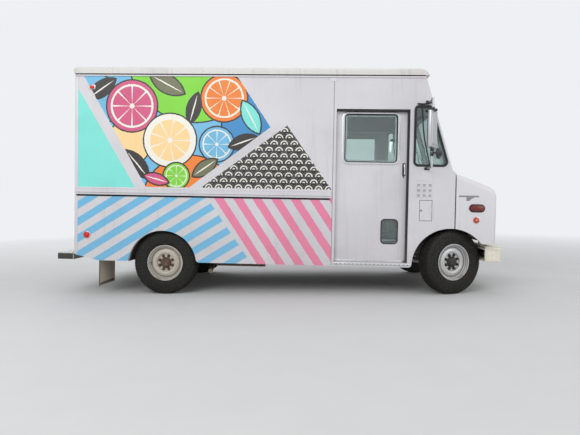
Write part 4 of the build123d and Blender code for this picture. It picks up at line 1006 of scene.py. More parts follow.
class FOODTRUCK_OT_finishes(Operator):
    """Makes the finishes and gives every CAD piece its own"""

    bl_idname = "foodtruck.finishes"
    bl_label = "Finishes"

    def execute(self, context):
        build_finishes()
        done = set()
        for finish, nodes in NODE_FINISH:
            for name in nodes:
                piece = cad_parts[name]
                piece.data.materials.clear()
                piece.data.materials.append(MATERIALS[finish])
                done.add(name)
        left = sorted(set(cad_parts) - done)
        if left:
            raise RuntimeError(f"no finish for {left}")
        return {"FINISHED"}


# Body trim


RIGHT = -1
LEFT = 1
SIDES = ((RIGHT, "right"), (LEFT, "left"))


def both(pieces):
    """Joins pieces of the left side and adds their mirror image on the right."""
    whole = join(pieces) if isinstance(pieces, list) else pieces
    apply_modifier(whole, "MIRROR", use_axis=(False, True, False), use_mirror_merge=False)
    return whole


def settle_sides(pieces, name, finish, body="body"):
    """Settles a piece of the left side and its mirror image, each named for its side."""
    left = join(pieces) if isinstance(pieces, list) else pieces
    right = left.copy()
    right.data = left.data.copy()
    bpy.context.scene.collection.objects.link(right)
    placed(right, Matrix.Scale(-1, 4, (0, 1, 0)))
    bpy.ops.object.mode_set(mode="EDIT")
    bpy.ops.mesh.select_all(action="SELECT")
    bpy.ops.mesh.flip_normals()
    bpy.ops.object.mode_set(mode="OBJECT")
    for piece, label in ((right, "right"), (left, "left")):
        settle(piece, f"{name}_{label}", finish, body.format(label))


def side_block(x_low, x_high, z_low, z_high, proud, width=0.002, sunk=0.002, side=LEFT):
    """A box on a side wall that stands proud of its face."""
    low, high = HALF_W - sunk, HALF_W + proud
    return block((x_low, side * low, z_low), (x_high, side * high, z_high), width)


def rivet_row(points, axis=(0, 1, 0), radius=None):
    """Low round rivet heads at points, facing along an axis."""
    size = radius or sizes().rivet_radius
    head = dome((0, 0, 0), axis, size, size * 0.5, 8, 4)
    return repeat(head, [Matrix.Translation(point) for point in points])


def along(start, end, pitch):
    """Evenly spaced points from start to end."""
    start, end = Vector(start), Vector(end)
    count = max(1, round((end - start).length / pitch))
    return [tuple(start.lerp(end, step / count)) for step in range(count + 1)]


def lathe(profile, sides=64):
    """A ring turned round the y axis from an outline of (across, radius) points."""
    deselect()
    bpy.ops.mesh.primitive_circle_add(vertices=len(profile), radius=1)
    piece = bpy.context.object
    for vertex, (across, radius) in zip(piece.data.vertices, profile):
        vertex.co = (0, across, radius)
    bpy.ops.object.mode_set(mode="EDIT")
    bpy.ops.mesh.select_all(action="SELECT")
    bpy.ops.mesh.spin(
        steps=sides, angle=math.tau, center=(0, 0, 0), axis=(0, 1, 0), use_auto_merge=True,
    )
    bpy.ops.object.mode_set(mode="OBJECT")
    face_outwards(piece, 0.00005)
    return soften(piece, 0)


class FOODTRUCK_OT_gutters(Operator):
    """Adds the rain gutters, the painted shadow lines under them and the roof edge rivets"""

    bl_idname = "foodtruck.gutters"
    bl_label = "Gutters"

    def execute(self, context):
        lips = [
            side_block(-1.086, 3.035, 2.590, 2.600, 0.013),
            side_block(-1.086, 3.035, 2.600, 2.606, 0.010, 0.001),
        ]
        settle(both(lips), "roof_gutters", "white_paint")
        # Painted shadow: a near-black strip just under each gutter lip.
        shadow = side_block(-1.084, 3.032, 2.6065, 2.6195, 0.004, 0.001)
        settle(both(shadow), "gutter_shadow_lines", "dark_gap")
        y = HALF_W + 0.012
        heads = rivet_row(along((-1.05, y, 2.655), (3.0, y, 2.655), 0.15))
        settle(both(heads), "roof_edge_rivets", "roof_paint")
        return {"FINISHED"}


class FOODTRUCK_OT_side_seams(Operator):
    """Adds the body's seams, corner mouldings and rivet rows"""

    bl_idname = "foodtruck.side_seams"
    bl_label = "Side seams and rivets"

    def execute(self, context):
        covers = [
            side_block(-1.086, -1.052, 0.47, 2.585, 0.004),
            side_block(SEAM_X - 0.040, SEAM_X + 0.024, 2.545, 2.585, 0.003),
        ]
        settle(both(covers), "side_corner_mouldings", "white_paint")
        seam = side_block(SEAM_X - 0.003, SEAM_X + 0.003, 0.40, 2.585, 0.0016, 0.0006)
        settle(both(seam), "side_panel_seams", "seam_line")
        rows = (
            (-1.069, 0.50, -1.069, 1.16), (-1.069, 1.30, -1.069, 2.56),
            (SEAM_X - 0.022, 0.46, SEAM_X - 0.022, 1.16),
            (SEAM_X - 0.022, 1.30, SEAM_X - 0.022, 2.52),
            (-1.00, 2.575, SEAM_X - 0.06, 2.575), (SEAM_X + 0.06, 2.575, 3.0, 2.575),
            (0.50, 0.418, SEAM_X - 0.06, 0.418),
        )
        pitch = sizes().rivet_pitch
        heads = [
            rivet_row(along((x, HALF_W, z), (x_end, HALF_W, z_end), pitch))
            for x, z, x_end, z_end in rows
        ]
        right_only = along((0.45, -HALF_W, 1.31), (0.45, -HALF_W, 2.54), pitch)
        heads = [both(heads), rivet_row(right_only, (0, -1, 0))]
        settle(heads, "side_rivets", "side_paint")
        return {"FINISHED"}


class FOODTRUCK_OT_belt_trim(Operator):
    """Adds the ribs, end caps and shadow line of the belt rail"""

    bl_idname = "foodtruck.belt_trim"
    bl_label = "Belt rail trim"

    def execute(self, context):
        end = 1.960
        low, high = (end - 0.006, HALF_W - 0.001, 1.187), (end + 0.012, HALF_W + 0.0215, 1.273)
        ribs = [
            side_block(-1.066, end - 0.004, 1.195, 1.205, 0.0230, 0.0025, -0.016),
            side_block(-1.066, end - 0.004, 1.258, 1.268, 0.0230, 0.0025, -0.016),
            block(low, high, 0.006, 3),
        ]
        settle(both(ribs), "belt_rail_ribs", "white_paint")
        # Painted shadows: a near-black strip under the rail, and a thin dark line on its face just
        # above the lower rib.
        lines = [
            side_block(-1.070, end, 1.1660, 1.1850, 0.004, 0.0008),
            side_block(-1.066, end - 0.004, 1.2060, 1.2100, 0.0206, 0.0008, -0.016),
        ]
        settle(both(lines), "belt_rail_shadow_line", "dark_gap")
        return {"FINISHED"}


# Doors and windows


def grown(low, high, radius, by):
    """The rounded outline made larger by a margin."""
    return rounded((low[0] - by, low[1] - by), (high[0] + by, high[1] + by), radius + by)


DOOR_GLASS = ((2.1264, 1.620), (2.7374, 2.176), 0.040)
CURB_GLASS = ((2.5719, 0.6675), (2.7599, 0.9485), 0.040)
SLIDING_DOOR = "sliding_door_{}"
REAR_DOOR = "rear_door_{}"


class FOODTRUCK_OT_door_windows(Operator):
    """Adds the frames and rubbers of the sliding doors' windows"""

    bl_idname = "foodtruck.door_windows"
    bl_label = "Door windows"

    def execute(self, context):
        low, high, corner = DOOR_GLASS
        frames = [
            frame_of(grown(low, high, corner, 0.034), 0.029, DOOR_OUT + 0.0020, 0.0050),
            frame_of(grown(low, high, corner, -0.004), 0.020, DOOR_OUT - 0.024, 0.008),
        ]
        settle_sides(frames, "door_window_frame", "aluminium_trim", body=SLIDING_DOOR)
        rubbers = [
            frame_of(grown(low, high, corner, 0.006), 0.010, DOOR_OUT - 0.004, 0.020),
            frame_of(grown(*CURB_GLASS, 0.008), 0.012, DOOR_OUT + 0.0005, 0.009),
        ]
        settle_sides(rubbers, "door_window_rubbers", "black_rubber", body=SLIDING_DOOR)
        y = DOOR_OUT + 0.0044
        screws = [
            (x, y, z) for x in (low[0] + 0.05, (low[0] + high[0]) / 2, high[0] - 0.05)
            for z in (low[1] - 0.020, high[1] + 0.020)
        ]
        screws += [
            (x, y, z) for x in (low[0] - 0.020, high[0] + 0.020)
            for z in (low[1] + 0.1, high[1] - 0.1)
        ]
        heads = rivet_row(screws, radius=0.0045)
        settle_sides(heads, "door_window_screws", "bolt_steel", body=SLIDING_DOOR)
        return {"FINISHED"}


class FOODTRUCK_OT_door_fittings(Operator):
    """Adds the sliding doors' handles, rubbing strips and floor tracks"""

    bl_idname = "foodtruck.door_fittings"
    bl_label = "Sliding door fittings"

    def execute(self, context):
        y = DOOR_OUT
        handle = [
            block((2.8225, y - 0.001, 1.490), (2.8385, y + 0.0055, 1.600), 0.0022),
            block((2.8225, y - 0.001, 1.472), (2.8385, y + 0.0068, 1.510), 0.0022),
        ]
        settle_sides(handle, "door_handle", "chrome", body=SLIDING_DOOR)
        # A black backing plate and lock button; the plate's dark also stands for painted shade in a
        # recess behind the handle.
        plate = [
            block((2.800, y - 0.002, 1.462), (2.840, y + 0.002, 1.612), 0.002),
            rod((2.816, y, 1.450), (2.816, y + 0.0045, 1.450), 0.010, 20, 0.001),
        ]
        settle_sides(plate, "door_handle_plate", "black_plastic", body=SLIDING_DOOR)
        strip = [
            block((2.006, y - 0.001, 0.432), (2.845, y + 0.0040, 0.470), 0.0015),
            block((2.866, y - 0.028, 0.44), (2.8735, y - 0.003, 2.22), 0.002),
        ]
        settle_sides(strip, "door_kick_strip", "aluminium_trim", body=SLIDING_DOOR)
        # Black rubbers at the doorway's front and top edges, wide enough to stand also for painted
        # shade in the gap round the door.
        rubbers = [
            block((2.8480, 0.9950, 0.448), (2.8715, 1.032, 2.204), 0.002),
            block((2.0225, 0.9950, 2.204), (2.8715, 1.036, 2.2275), 0.002),
        ]
        settle_sides(rubbers, "doorway_rubbers", "black_rubber")
        sill = side_block(2.024, 2.900, 0.410, 0.436, 0.003, 0.001)
        settle_sides(sill, "doorway_sill", "chrome")
        y = HALF_W + 0.003
        heads = rivet_row(along((2.05, y, 0.423), (2.88, y, 0.423), 0.05), radius=0.006)
        settle_sides(heads, "doorway_sill_rivets", "dark_gap")
        tracks = [
            block((1.16, 0.925, 0.7005), (2.88, 0.948, 0.708), 0.001),
            block((1.16, 0.944, 2.250), (2.90, 0.9930, 2.285), 0.002),
        ]
        settle_sides(tracks, "door_tracks", "aluminium_trim")
        return {"FINISHED"}


class FOODTRUCK_OT_quarter_windows(Operator):
    """Adds the thick rubber and divider bar of the quarter windows"""

    bl_idname = "foodtruck.quarter_windows"
    bl_label = "Quarter windows"

    def execute(self, context):
        seal = frame_of(quarter_outline(0.012), 0.027, HALF_W + 0.002, 0.014)
        y = HALF_W - 0.022
        line = [(3.010, y, 2.245), (3.035, y, 1.95), (3.075, y, 1.745), (3.110, y, 1.600)]
        settle_sides([seal, pipe(line, 0.008, 4)], "quarter_window_rubber", "black_rubber")
        return {"FINISHED"}


SCREEN_FOOT = (3.3709, 1.530)
SCREEN_LEAN = math.radians(16.9)


def screen_x(z):
    """Where the windscreen's face is at a height."""
    return SCREEN_FOOT[0] - (z - SCREEN_FOOT[1]) * math.tan(SCREEN_LEAN)


def quarter_outline(grow, corner=0.045, steps=6):
    """The quarter window's rounded outline, made larger by a margin."""
    low, high, back, pillar = 1.582, 2.268, 2.9279, 0.036
    slope = math.tan(SCREEN_LEAN)
    corners = [
        (back - grow, low - grow), (screen_x(low) - pillar + grow + grow * slope, low - grow),
        (screen_x(high) - pillar + grow - grow * slope, high + grow), (back - grow, high + grow),
    ]
    radius = corner + grow
    points = []
    for index, here in enumerate(corners):
        here = Vector(here)
        before = (Vector(corners[index - 1]) - here).normalized()
        after = (Vector(corners[(index + 1) % 4]) - here).normalized()
        half = before.angle(after) / 2
        centre = here + (before + after).normalized() * (radius / math.sin(half))
        start = here + before * (radius / math.tan(half)) - centre
        end = here + after * (radius / math.tan(half)) - centre
        swing = start.angle_signed(end)
        for step in range(steps + 1):
            spun = Matrix.Rotation(-swing * step / steps, 2) @ start
            points.append(tuple(centre + spun))
    return points


class FOODTRUCK_OT_filler_and_vent(Operator):
    """Adds the fuel cap, its door's latch and the vent of nine small squares above them"""

    bl_idname = "foodtruck.filler_and_vent"
    bl_label = "Fuel door latch and vent"

    def execute(self, context):
        vents = [side_block(2.955, 3.140, 1.408, 1.416, 0.005, side=RIGHT)]
        slot_shades = []
        for cell in range(9):
            x, z = 2.958 + cell // 3 * 0.066, 1.212 + cell % 3 * 0.060
            edge = rounded((x, z), (x + 0.050, z + 0.046), 0.008, 3)
            vents.append(frame_of(edge, 0.008, -HALF_W - 0.002, 0.006))
            low, high = z + 0.008, z + 0.038
            # Painted shade: a grey inset in each pressed square.
            slot_shades.append(side_block(x + 0.008, x + 0.042, low, high, 0.0012, 0.0005, side=RIGHT))
        settle(vents, "cowl_vent", "white_paint")
        settle(slot_shades, "cowl_vent_slots", "vent_grey")
        latch = [
            rod((3.020, -1.038, 1.062), (3.020, -1.0435, 1.062), 0.012, 24, 0.001),
            block((3.012, -1.0445, 1.0605), (3.028, -1.0425, 1.0635), 0.0005),
        ]
        settle(latch, "fuel_door_latch", "bolt_steel", body="fuel_door")
        cap = [
            rod((3.0624, -1.0150, 1.062), (3.0624, -1.0250, 1.062), 0.0385, 32, 0.002),
            block((3.0564, -1.0272, 1.030), (3.0684, -1.0245, 1.094), 0.001),
        ]
        settle(cap, "fuel_cap", "black_plastic")
        return {"FINISHED"}


# Front


class FOODTRUCK_OT_nose_trim(Operator):
    """Adds the nose's marker lamps and reflectors, and the painted shadows of its side creases"""

    bl_idname = "foodtruck.nose_trim"
    bl_label = "Nose trim"

    def execute(self, context):
        y = HALF_W
        lens = outline(stadium(3.5775, 3.7345, 1.0995, 0.0345), y + 0.011, 0.014, 0.005)
        settle(both(lens), "nose_marker_lenses", "dark_red_lens", "nose")
        bezel = outline(stadium(3.5655, 3.7465, 1.0995, 0.0465), y + 0.003, 0.010, 0.002)
        settle(both(bezel), "nose_marker_rubbers", "black_rubber", body="nose")
        amber = dome((3.651, y + 0.003, 0.962), (0, 1, 0), 0.036, 0.011, 32, 8)
        settle(both(amber), "nose_reflectors", "orange_lens", body="nose")
        rims = [
            rod((3.651, y - 0.002, 0.962), (3.651, y + 0.004, 0.962), 0.041, 32, 0.001),
            rod((3.651, y + 0.011, 0.962), (3.651, y + 0.0165, 0.962), 0.007, 16, 0.001),
        ]
        settle(both(rims), "nose_reflector_rims", "aluminium_trim", body="nose")
        # Painted shadows: a dark line along each side crease and a dark wedge under it.
        shadow_wedge = ((3.534, 1.228), (3.630, 1.228), (3.590, 1.206), (3.566, 1.184), (3.532, 1.184))
        crease_shadows = [
            side_block(3.448, 3.676, 1.2270, 1.2450, 0.0022, 0.0008),
            outline(shadow_wedge, y + 0.0004, 0.0030, 0.0006),
        ]
        settle(both(crease_shadows), "nose_side_creases", "seam_line", body="nose")
        return {"FINISHED"}


def stadium(x_low, x_high, z, half, steps=10):
    """The outline of a slot with round ends, lying along x."""
    points = []
    for centre, start in ((x_high - half, -90), (x_low + half, 90)):
        for step in range(steps + 1):
            angle = math.radians(start + 180 * step / steps)
            points.append((centre + half * math.cos(angle), z + half * math.sin(angle)))
    return points


LAMP_AT = (3.8899, 0.760, 0.985)
LAMP_RIM = (
    (0.000, 0.0840), (0.000, 0.1040), (0.008, 0.1040), (0.018, 0.0985), (0.022, 0.0930),
    (0.022, 0.0880), (0.016, 0.0840),
)
LAMP_BOWL = (
    (0.0005, 0.0003), (0.0005, 0.0845), (0.0140, 0.0845), (0.0080, 0.0640), (0.0035, 0.0400),
    (0.0020, 0.0180), (0.0020, 0.0003),
)


class FOODTRUCK_OT_headlamps(Operator):
    """Adds the headlamps' chrome rims, bowls and fluted lenses, and the turn lamps below them"""

    bl_idname = "foodtruck.headlamps"
    bl_label = "Headlamps"

    def execute(self, context):
        x, y, z = LAMP_AT
        forward = (1, 0, 0)
        face = Matrix.Translation(LAMP_AT) @ turn(-90, "Z")
        rims = [
            placed(lathe(LAMP_RIM), face),
            ring((x + 0.004, y, z - 0.170), forward, 0.047, 0.006, 40, 10),
        ]
        settle(both(rims), "headlamp_rims", "chrome", body="nose")
        bowl = placed(lathe(LAMP_BOWL), face)
        settle(both(bowl), "headlamp_bowls", "chrome", body="nose")
        bulb = dome((x + 0.0015, y, z), forward, 0.016, 0.012, 24, 8)
        settle(both(bulb), "headlamp_bulbs", "clear_lens", body="nose")
        lens = dome((x + 0.0155, y, z), forward, 0.0865, 0.015, 64, 14)
        settle(both(lens), "headlamp_lenses", "lamp_glass", body="nose")
        lamp = dome((x + 0.001, y, z - 0.170), forward, 0.043, 0.020, 32, 10)
        settle(both(lamp), "front_turn_lamps", "amber_lens", body="nose")
        off = 0.104 * math.cos(math.radians(45))
        spots = [(x + 0.012, y + a, z + b) for a in (-off, off) for b in (-off, off)]
        screws = rivet_row(spots, forward, 0.005)
        settle(both(screws), "headlamp_screws", "bolt_steel", body="nose")
        return {"FINISHED"}


QUARTER_TURN = turn(90, "Z")


class FOODTRUCK_OT_wipers(Operator):
    """Adds the windscreen's rubbers, its centre post and the two wipers"""

    bl_idname = "foodtruck.wipers"
    bl_label = "Windscreen rubbers and wipers"

    def execute(self, context):
        lean = shift(SCREEN_FOOT[0], 0, SCREEN_FOOT[1])
        lean = STANCE @ lean @ Matrix.Rotation(-SCREEN_LEAN, 4, "Y")
        seal = frame_of(grown((0.030, 0.080), (0.910, 0.720), 0.060, 0.010), 0.026, 0, 0.012)
        seal = both(placed(seal, shift(0.003, 0, 0) @ QUARTER_TURN))
        settle(seal, "windscreen_rubbers", "black_rubber", place=lean)
        post = block((0.000, -0.022, 0.070), (0.010, 0.022, 0.730), 0.003)
        settle(post, "windscreen_post", "aluminium_trim", place=lean)
        arms = []
        for y in (-0.62, 0.30):
            line = [
                (0.028, y, 0.022), (0.034, y + 0.06, 0.14), (0.026, y + 0.15, 0.33),
                (0.022, y + 0.19, 0.40),
            ]
            blade = join([
                block((0.012, -0.006, -0.20), (0.020, 0.006, 0.20), 0.001),
                block((0.018, -0.004, -0.15), (0.025, 0.004, 0.15), 0.001),
            ])
            tip = shift(0, y + 0.19, 0.40) @ turn(8, "X")
            boss = rod((0.000, y, 0.022), (0.030, y, 0.022), 0.016, 24)
            arms += [boss, pipe(line, 0.005, 4), placed(blade, tip)]
        settle(arms, "wipers", "black_plastic", place=lean)
        return {"FINISHED"}


# Bumpers, mirrors and rear


def slab(plan, low, high, width=0.003):
    """A plate with an (x, y) outline between two heights."""
    place = shift(0, 0, (low + high) / 2) @ turn(-90, "X")
    return placed(outline(plan, 0, high - low, width), place)


BUMPER_FRONT = 3.9749
BUMPER_BACK = 3.7919
BUMPER_HALF = 0.960


class FOODTRUCK_OT_front_bumper_trim(Operator):
    """Adds the front bumper's pressed ribs, bolts and brackets"""

    bl_idname = "foodtruck.front_bumper_trim"
    bl_label = "Front bumper trim"

    def execute(self, context):
        ribs = []
        for low, high, proud in (
            (0.612, 0.632, 0.007), (0.644, 0.658, 0.004), (0.477, 0.493, 0.004),
        ):
            half = BUMPER_HALF + proud
            corners = (BUMPER_BACK - proud, -half), (BUMPER_FRONT + proud, half)
            ribs.append(slab(rounded(*corners, 0.018 + proud, 5), low, high, 0.005))
        settle(ribs, "front_bumper_ribs", "bumper_paint")
        x = BUMPER_FRONT + 0.001
        heads = [(x, y, z) for y in (0.15, 0.44, 0.84) for z in (0.530, 0.590)]
        heads = rivet_row(heads, (1, 0, 0), 0.011)
        settle(both(heads), "front_bumper_bolts", "bolt_steel")
        x = BUMPER_BACK
        arms = [block((x - 0.20, 0.400, 0.505), (x + 0.004, 0.412, 0.625), 0.002)]
        for x in (BUMPER_BACK - 0.10, BUMPER_BACK - 0.15):
            arms.append(rod((x, 0.395, 0.57), (x, 0.424, 0.57), 0.012, 6, 0.001))
        settle(both(arms), "front_bumper_brackets", "frame_paint")
        return {"FINISHED"}


MIRROR_AT = (3.0729, 1.265)
MIRROR_TOE = math.radians(34)


class FOODTRUCK_OT_mirror_fittings(Operator):
    """Adds the mirrors' shells, glass, brackets and the round lower mirrors"""

    bl_idname = "foodtruck.mirror_fittings"
    bl_label = "Mirror fittings"

    def execute(self, context):
        x, y = MIRROR_AT
        toe = Matrix.Rotation(MIRROR_TOE, 4, "Z")
        head = shift(x, y, 1.9655) @ toe
        spot = shift(x + 0.070, y + 0.012, 1.700) @ toe
        shells = join([
            block((-0.020, -0.097, -0.2015), (0.020, 0.097, 0.2015), 0.010, 4),
            block((0.012, -0.070, -0.170), (0.027, 0.070, 0.170), 0.009, 4),
        ])
        settle(both(placed(shells, head)), "mirror_shells", "mirror_shell")
        face = block((-0.0240, -0.091, -0.1955), (-0.0218, 0.091, 0.1955), 0.0008)
        bulb = dome((-0.0115, 0, 0), (-1, 0, 0), 0.057, 0.012, 40, 8)
        faces = [placed(face, head), placed(bulb, spot)]
        settle(both(faces), "mirror_faces", "chrome")
        rim = block((-0.0225, -0.099, -0.2035), (-0.0165, 0.099, 0.2035), 0.002)
        cup = [
            rod((0.016, 0, 0), (-0.012, 0, 0), 0.058, 40, 0.006, 0.062),
            rod((0.036, 0, 0.004), (0.012, 0, 0), 0.018, 24, 0.003, 0.036),
        ]
        strap = ((-0.125, 2.293), (-0.040, 2.291), (0.010, 2.299), (0.062, 2.313))
        brackets = [
            placed(rim, head), placed(join(cup), spot),
            rod((x, y, 1.720), (x, y, 1.760), 0.020, 20),
            rod((x, y, 2.168), (x, y, 2.208), 0.020, 20),
            block((x - 0.070, 1.190, 2.164), (x + 0.045, 1.290, 2.192), 0.006, 3),
            pipe([(x + step, HALF_W + 0.009, z) for step, z in strap], 0.008, 4),
            rod((x, y, 1.710), (x + 0.088, y + 0.010, 1.702), 0.009, 16),
            rod((x, y, 1.670), (x, y, 1.712), 0.018, 20),
        ]
        side = HALF_W
        for z, low, high in ((1.552, 1.530, 1.562), (2.302, 2.296, 2.328)):
            brackets += [
                block((x - 0.030, side - 0.001, low), (x + 0.030, side + 0.008, high), 0.004, 3),
                rod((x, side + 0.006, z), (x, side + 0.040, z), 0.017, 20),
                ring((x, y - 0.018, z), (0, 1, 0), 0.012, 0.005, 24, 8),
            ]
        settle(both(brackets), "mirror_brackets", "black_plastic")
        return {"FINISHED"}


class FOODTRUCK_OT_side_markers(Operator):
    """Adds the round reflectors and the small marker lamps on the sides"""

    bl_idname = "foodtruck.side_markers"
    bl_label = "Side markers"

    def execute(self, context):
        x, y, z = -0.938, HALF_W, 0.701
        lenses = [
            dome((x, y + 0.006, z), (0, 1, 0), 0.038, 0.012, 36, 8),
            block((-0.906, y + 0.004, 2.438), (-0.854, y + 0.020, 2.480), 0.007, 4),
        ]
        settle(both(lenses), "side_marker_lenses", "red_lens")
        rims = [
            rod((x, y, z), (x, y + 0.007, z), 0.044, 40, 0.002),
            block((-0.915, y - 0.001, 2.432), (-0.845, y + 0.006, 2.486), 0.003),
        ]
        settle(both(rims), "side_marker_rims", "aluminium_trim")
        return {"FINISHED"}


# Wheels


def wheel_place(side, axle):
    """The place of a wheel's centre in the row frame, with y pointing outboard."""
    outboard = turn(180, "Z") if side == RIGHT else Matrix.Identity(4)
    if axle == "rear":
        return shift(-REAR_AXLE_TO_MIDDLE, side * 0.898, TYRE_RADIUS) @ outboard
    return (
        shift(2.0321240657, side * 0.848, TYRE_RADIUS)
        @ Matrix.Rotation(PARKED_STEER, 4, "Z")
        @ shift(0, side * 0.050, 0) @ outboard
    )


WHEELS = tuple(
    (axle, side, label, f"{axle}_wheel_{label}")
    for axle in ("front", "rear") for side, label in SIDES
)
# Outlines turned round a wheel's axle, as (across, radius) points
TYRE_HALF = (
    (0.0800, 0.2140), (0.0850, 0.2150), (0.0895, 0.2185), (0.0940, 0.2260), (0.0985, 0.2380),
    (0.0990, 0.2405), (0.1005, 0.2425), (0.1020, 0.2520), (0.1038, 0.2680), (0.1040, 0.2850),
    (0.1030, 0.3000), (0.1014, 0.3130), (0.1020, 0.3150), (0.1014, 0.3172), (0.0998, 0.3300),
    (0.0975, 0.3420), (0.0925, 0.3540), (0.0860, 0.3635), (0.0790, 0.3660),
)
TYRE_INNER = ((0.0800, 0.2140), (0.078, 0.222), (0.088, 0.27), (0.078, 0.345), (0.05, 0.352))
RIM_LIPS = (
    ((0.0835, 0.2050), (0.0875, 0.2050), (0.0895, 0.2075), (0.0895, 0.2125), (0.0875, 0.2148),
     (0.0835, 0.2145)),
    ((0.0640, 0.2000), (0.0680, 0.1950), (0.0715, 0.1980), (0.0725, 0.2030), (0.0640, 0.2030)),
    ((0.0430, 0.1890), (0.0475, 0.1835), (0.0520, 0.1865), (0.0530, 0.1910), (0.0430, 0.1920)),
    ((0.0605, 0.1250), (0.0665, 0.1290), (0.0672, 0.1330), (0.0655, 0.1385), (0.0605, 0.1400)),
)
# Painted shade: thin dark rings laid in the rims' grooves.
RIM_GROOVE_SHADES = (
    ((0.0728, 0.2025), (0.0735, 0.2012), (0.0790, 0.2022), (0.0800, 0.2034)),
    ((0.0540, 0.1935), (0.0545, 0.1915), (0.0625, 0.1942), (0.0630, 0.1960)),
    ((0.0355, 0.1740), (0.0372, 0.1750), (0.0372, 0.1835), (0.0355, 0.1850)),
)
HUB_COVER = (
    (0.0405, 0.0), (0.0405, 0.0632), (0.0545, 0.0632), (0.0575, 0.0600), (0.0690, 0.0495),
    (0.0795, 0.0475), (0.0815, 0.0440), (0.0815, 0.0),
)
# Ribs of tread blocks: inner and outer edge, blocks in the rib, lead of the first block
TREAD_RIBS = (
    (-0.079, -0.050, 60, 0.0), (-0.044, -0.017, 72, 0.5), (-0.011, 0.011, 72, 0.0),
    (0.017, 0.044, 72, 0.5), (0.050, 0.079, 60, 0.0),
)
# Bolts on the hub covers, as radius and count, and the balance weights' places in degrees
HUB_BOLTS = {"front": (0.034, 6), "rear": (0.035, 8)}
WEIGHTS = {"front": (205, 216), "rear": (152, 160, 300)}
NUT_CIRCLE = 0.08255
RIM_FACE = 0.040


def tyre():
    """A tyre with its carcass and five ribs of tread blocks."""
    profile = [(-a, r) for a, r in TYRE_HALF] + [(a, r) for a, r in reversed(TYRE_HALF)]
    profile += [(a, r) for a, r in TYRE_INNER] + [(-a, r) for a, r in reversed(TYRE_INNER)]
    pieces = [lathe(profile, 96)]
    for rib, (low, high, count, lead) in enumerate(TREAD_RIBS):
        shoulder = count == 60
        half = math.pi * 0.376 / count * (0.80 if shoulder else 0.86)
        deselect()
        bpy.ops.mesh.primitive_cube_add(size=1)
        lug = bpy.context.object
        for vertex in lug.data.vertices:
            x, y, z = vertex.co
            across = low if y < 0 else high
            top = 0.3755 if z > 0 else 0.3620
            if z > 0 and shoulder and abs(across) > 0.07:
                top = 0.3725
            skew = 0.004 * (1 if rib % 2 else -1) * (1 if y > 0 else -1)
            vertex.co = (x * 2 * half + skew, across, top)
        pieces.append(repeat(lug, [
            Matrix.Rotation(math.tau * (step + lead) / count, 4, "Y") for step in range(count)
        ]))
    return join(pieces)


def circle(radius, count, y=0.0, lead=0.0):
    """Points evenly round a wheel's axle."""
    angles = [math.tau * (step + lead) / count for step in range(count)]
    return [(radius * math.cos(angle), y, radius * math.sin(angle)) for angle in angles]


class FOODTRUCK_OT_tyres(Operator):
    """Models the treaded tyres that stand in for the plain CAD ones"""

    bl_idname = "foodtruck.tyres"
    bl_label = "Tyres"

    def execute(self, context):
        pattern = tyre()
        for axle, side, label, body in WHEELS:
            copy = pattern.copy()
            copy.data = pattern.data.copy()
            context.scene.collection.objects.link(copy)
            node = f"tyre_{axle}_{label}"
            name = f"treaded_{node}"
            place = wheel_place(side, axle)
            piece = settle(copy, name, "tyre_rubber", body=body, place=place)
            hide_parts(node)
        only(pattern)
        bpy.ops.object.delete()
        return {"FINISHED"}


class FOODTRUCK_OT_wheel_fittings(Operator):
    """Adds the wheels' rolled lips, nuts, hub caps, valves and balance weights"""

    bl_idname = "foodtruck.wheel_fittings"
    bl_label = "Wheel fittings"

    def execute(self, context):
        face = RIM_FACE
        for axle, side, label, body in WHEELS:
            front = axle == "front"
            nut = join([
                rod((0, face, 0), (0, face + 0.004, 0), 0.0185, 24, 0.001),
                rod((0, face + 0.003, 0), (0, face + 0.021, 0), 0.0160, 6, 0.0015, 0.0150),
                rod((0, face + 0.019, 0), (0, face + 0.030, 0), 0.0085, 12, 0.001),
            ])
            spots = circle(NUT_CIRCLE, sizes().wheel_nuts, lead=0.5)
            hub = [
                repeat(nut, [Matrix.Translation(spot) for spot in spots]),
                lathe(HUB_COVER, 48),
                rivet_row(circle(*HUB_BOLTS[axle], 0.0812), radius=0.0055),
            ]
            line = [(0.170, face - 0.006, 0), (0.176, face + 0.016, 0), (0.182, face + 0.030, 0)]
            tip = rod((0.182, face + 0.028, 0), (0.186, face + 0.040, 0), 0.0055, 12, 0.001)
            weights = []
            for angle in WEIGHTS[axle]:
                weight = block((-0.014, 0.0845, 0.196), (0.014, 0.0925, 0.2075), 0.002)
                weights.append(placed(weight, turn(angle, "Y")))
            paint = "front_wheel_paint" if front else "wheel_paint"
            for pieces, name, finish in (
                # the groove rings carry painted shade
                ([lathe(line_of, 96) for line_of in RIM_GROOVE_SHADES], "rim_grooves", "seam_line"),
                ([lathe(line_of, 96) for line_of in RIM_LIPS], "rim_lips", paint),
                (hub, "wheel_nuts", "hub_black" if front else "hub_rust"),
                ([pipe(line, 0.0045, 4), tip], "wheel_valve", "bolt_steel"),
                (weights, "balance_weights", "bolt_steel"),
            ):
                name = f"{name}_{axle}_{label}"
                settle(pieces, name, finish, body=body, place=wheel_place(side, axle))
        return {"FINISHED"}


# Rear


REAR_GLASS = ((0.170, 1.500), (0.630, 2.080))


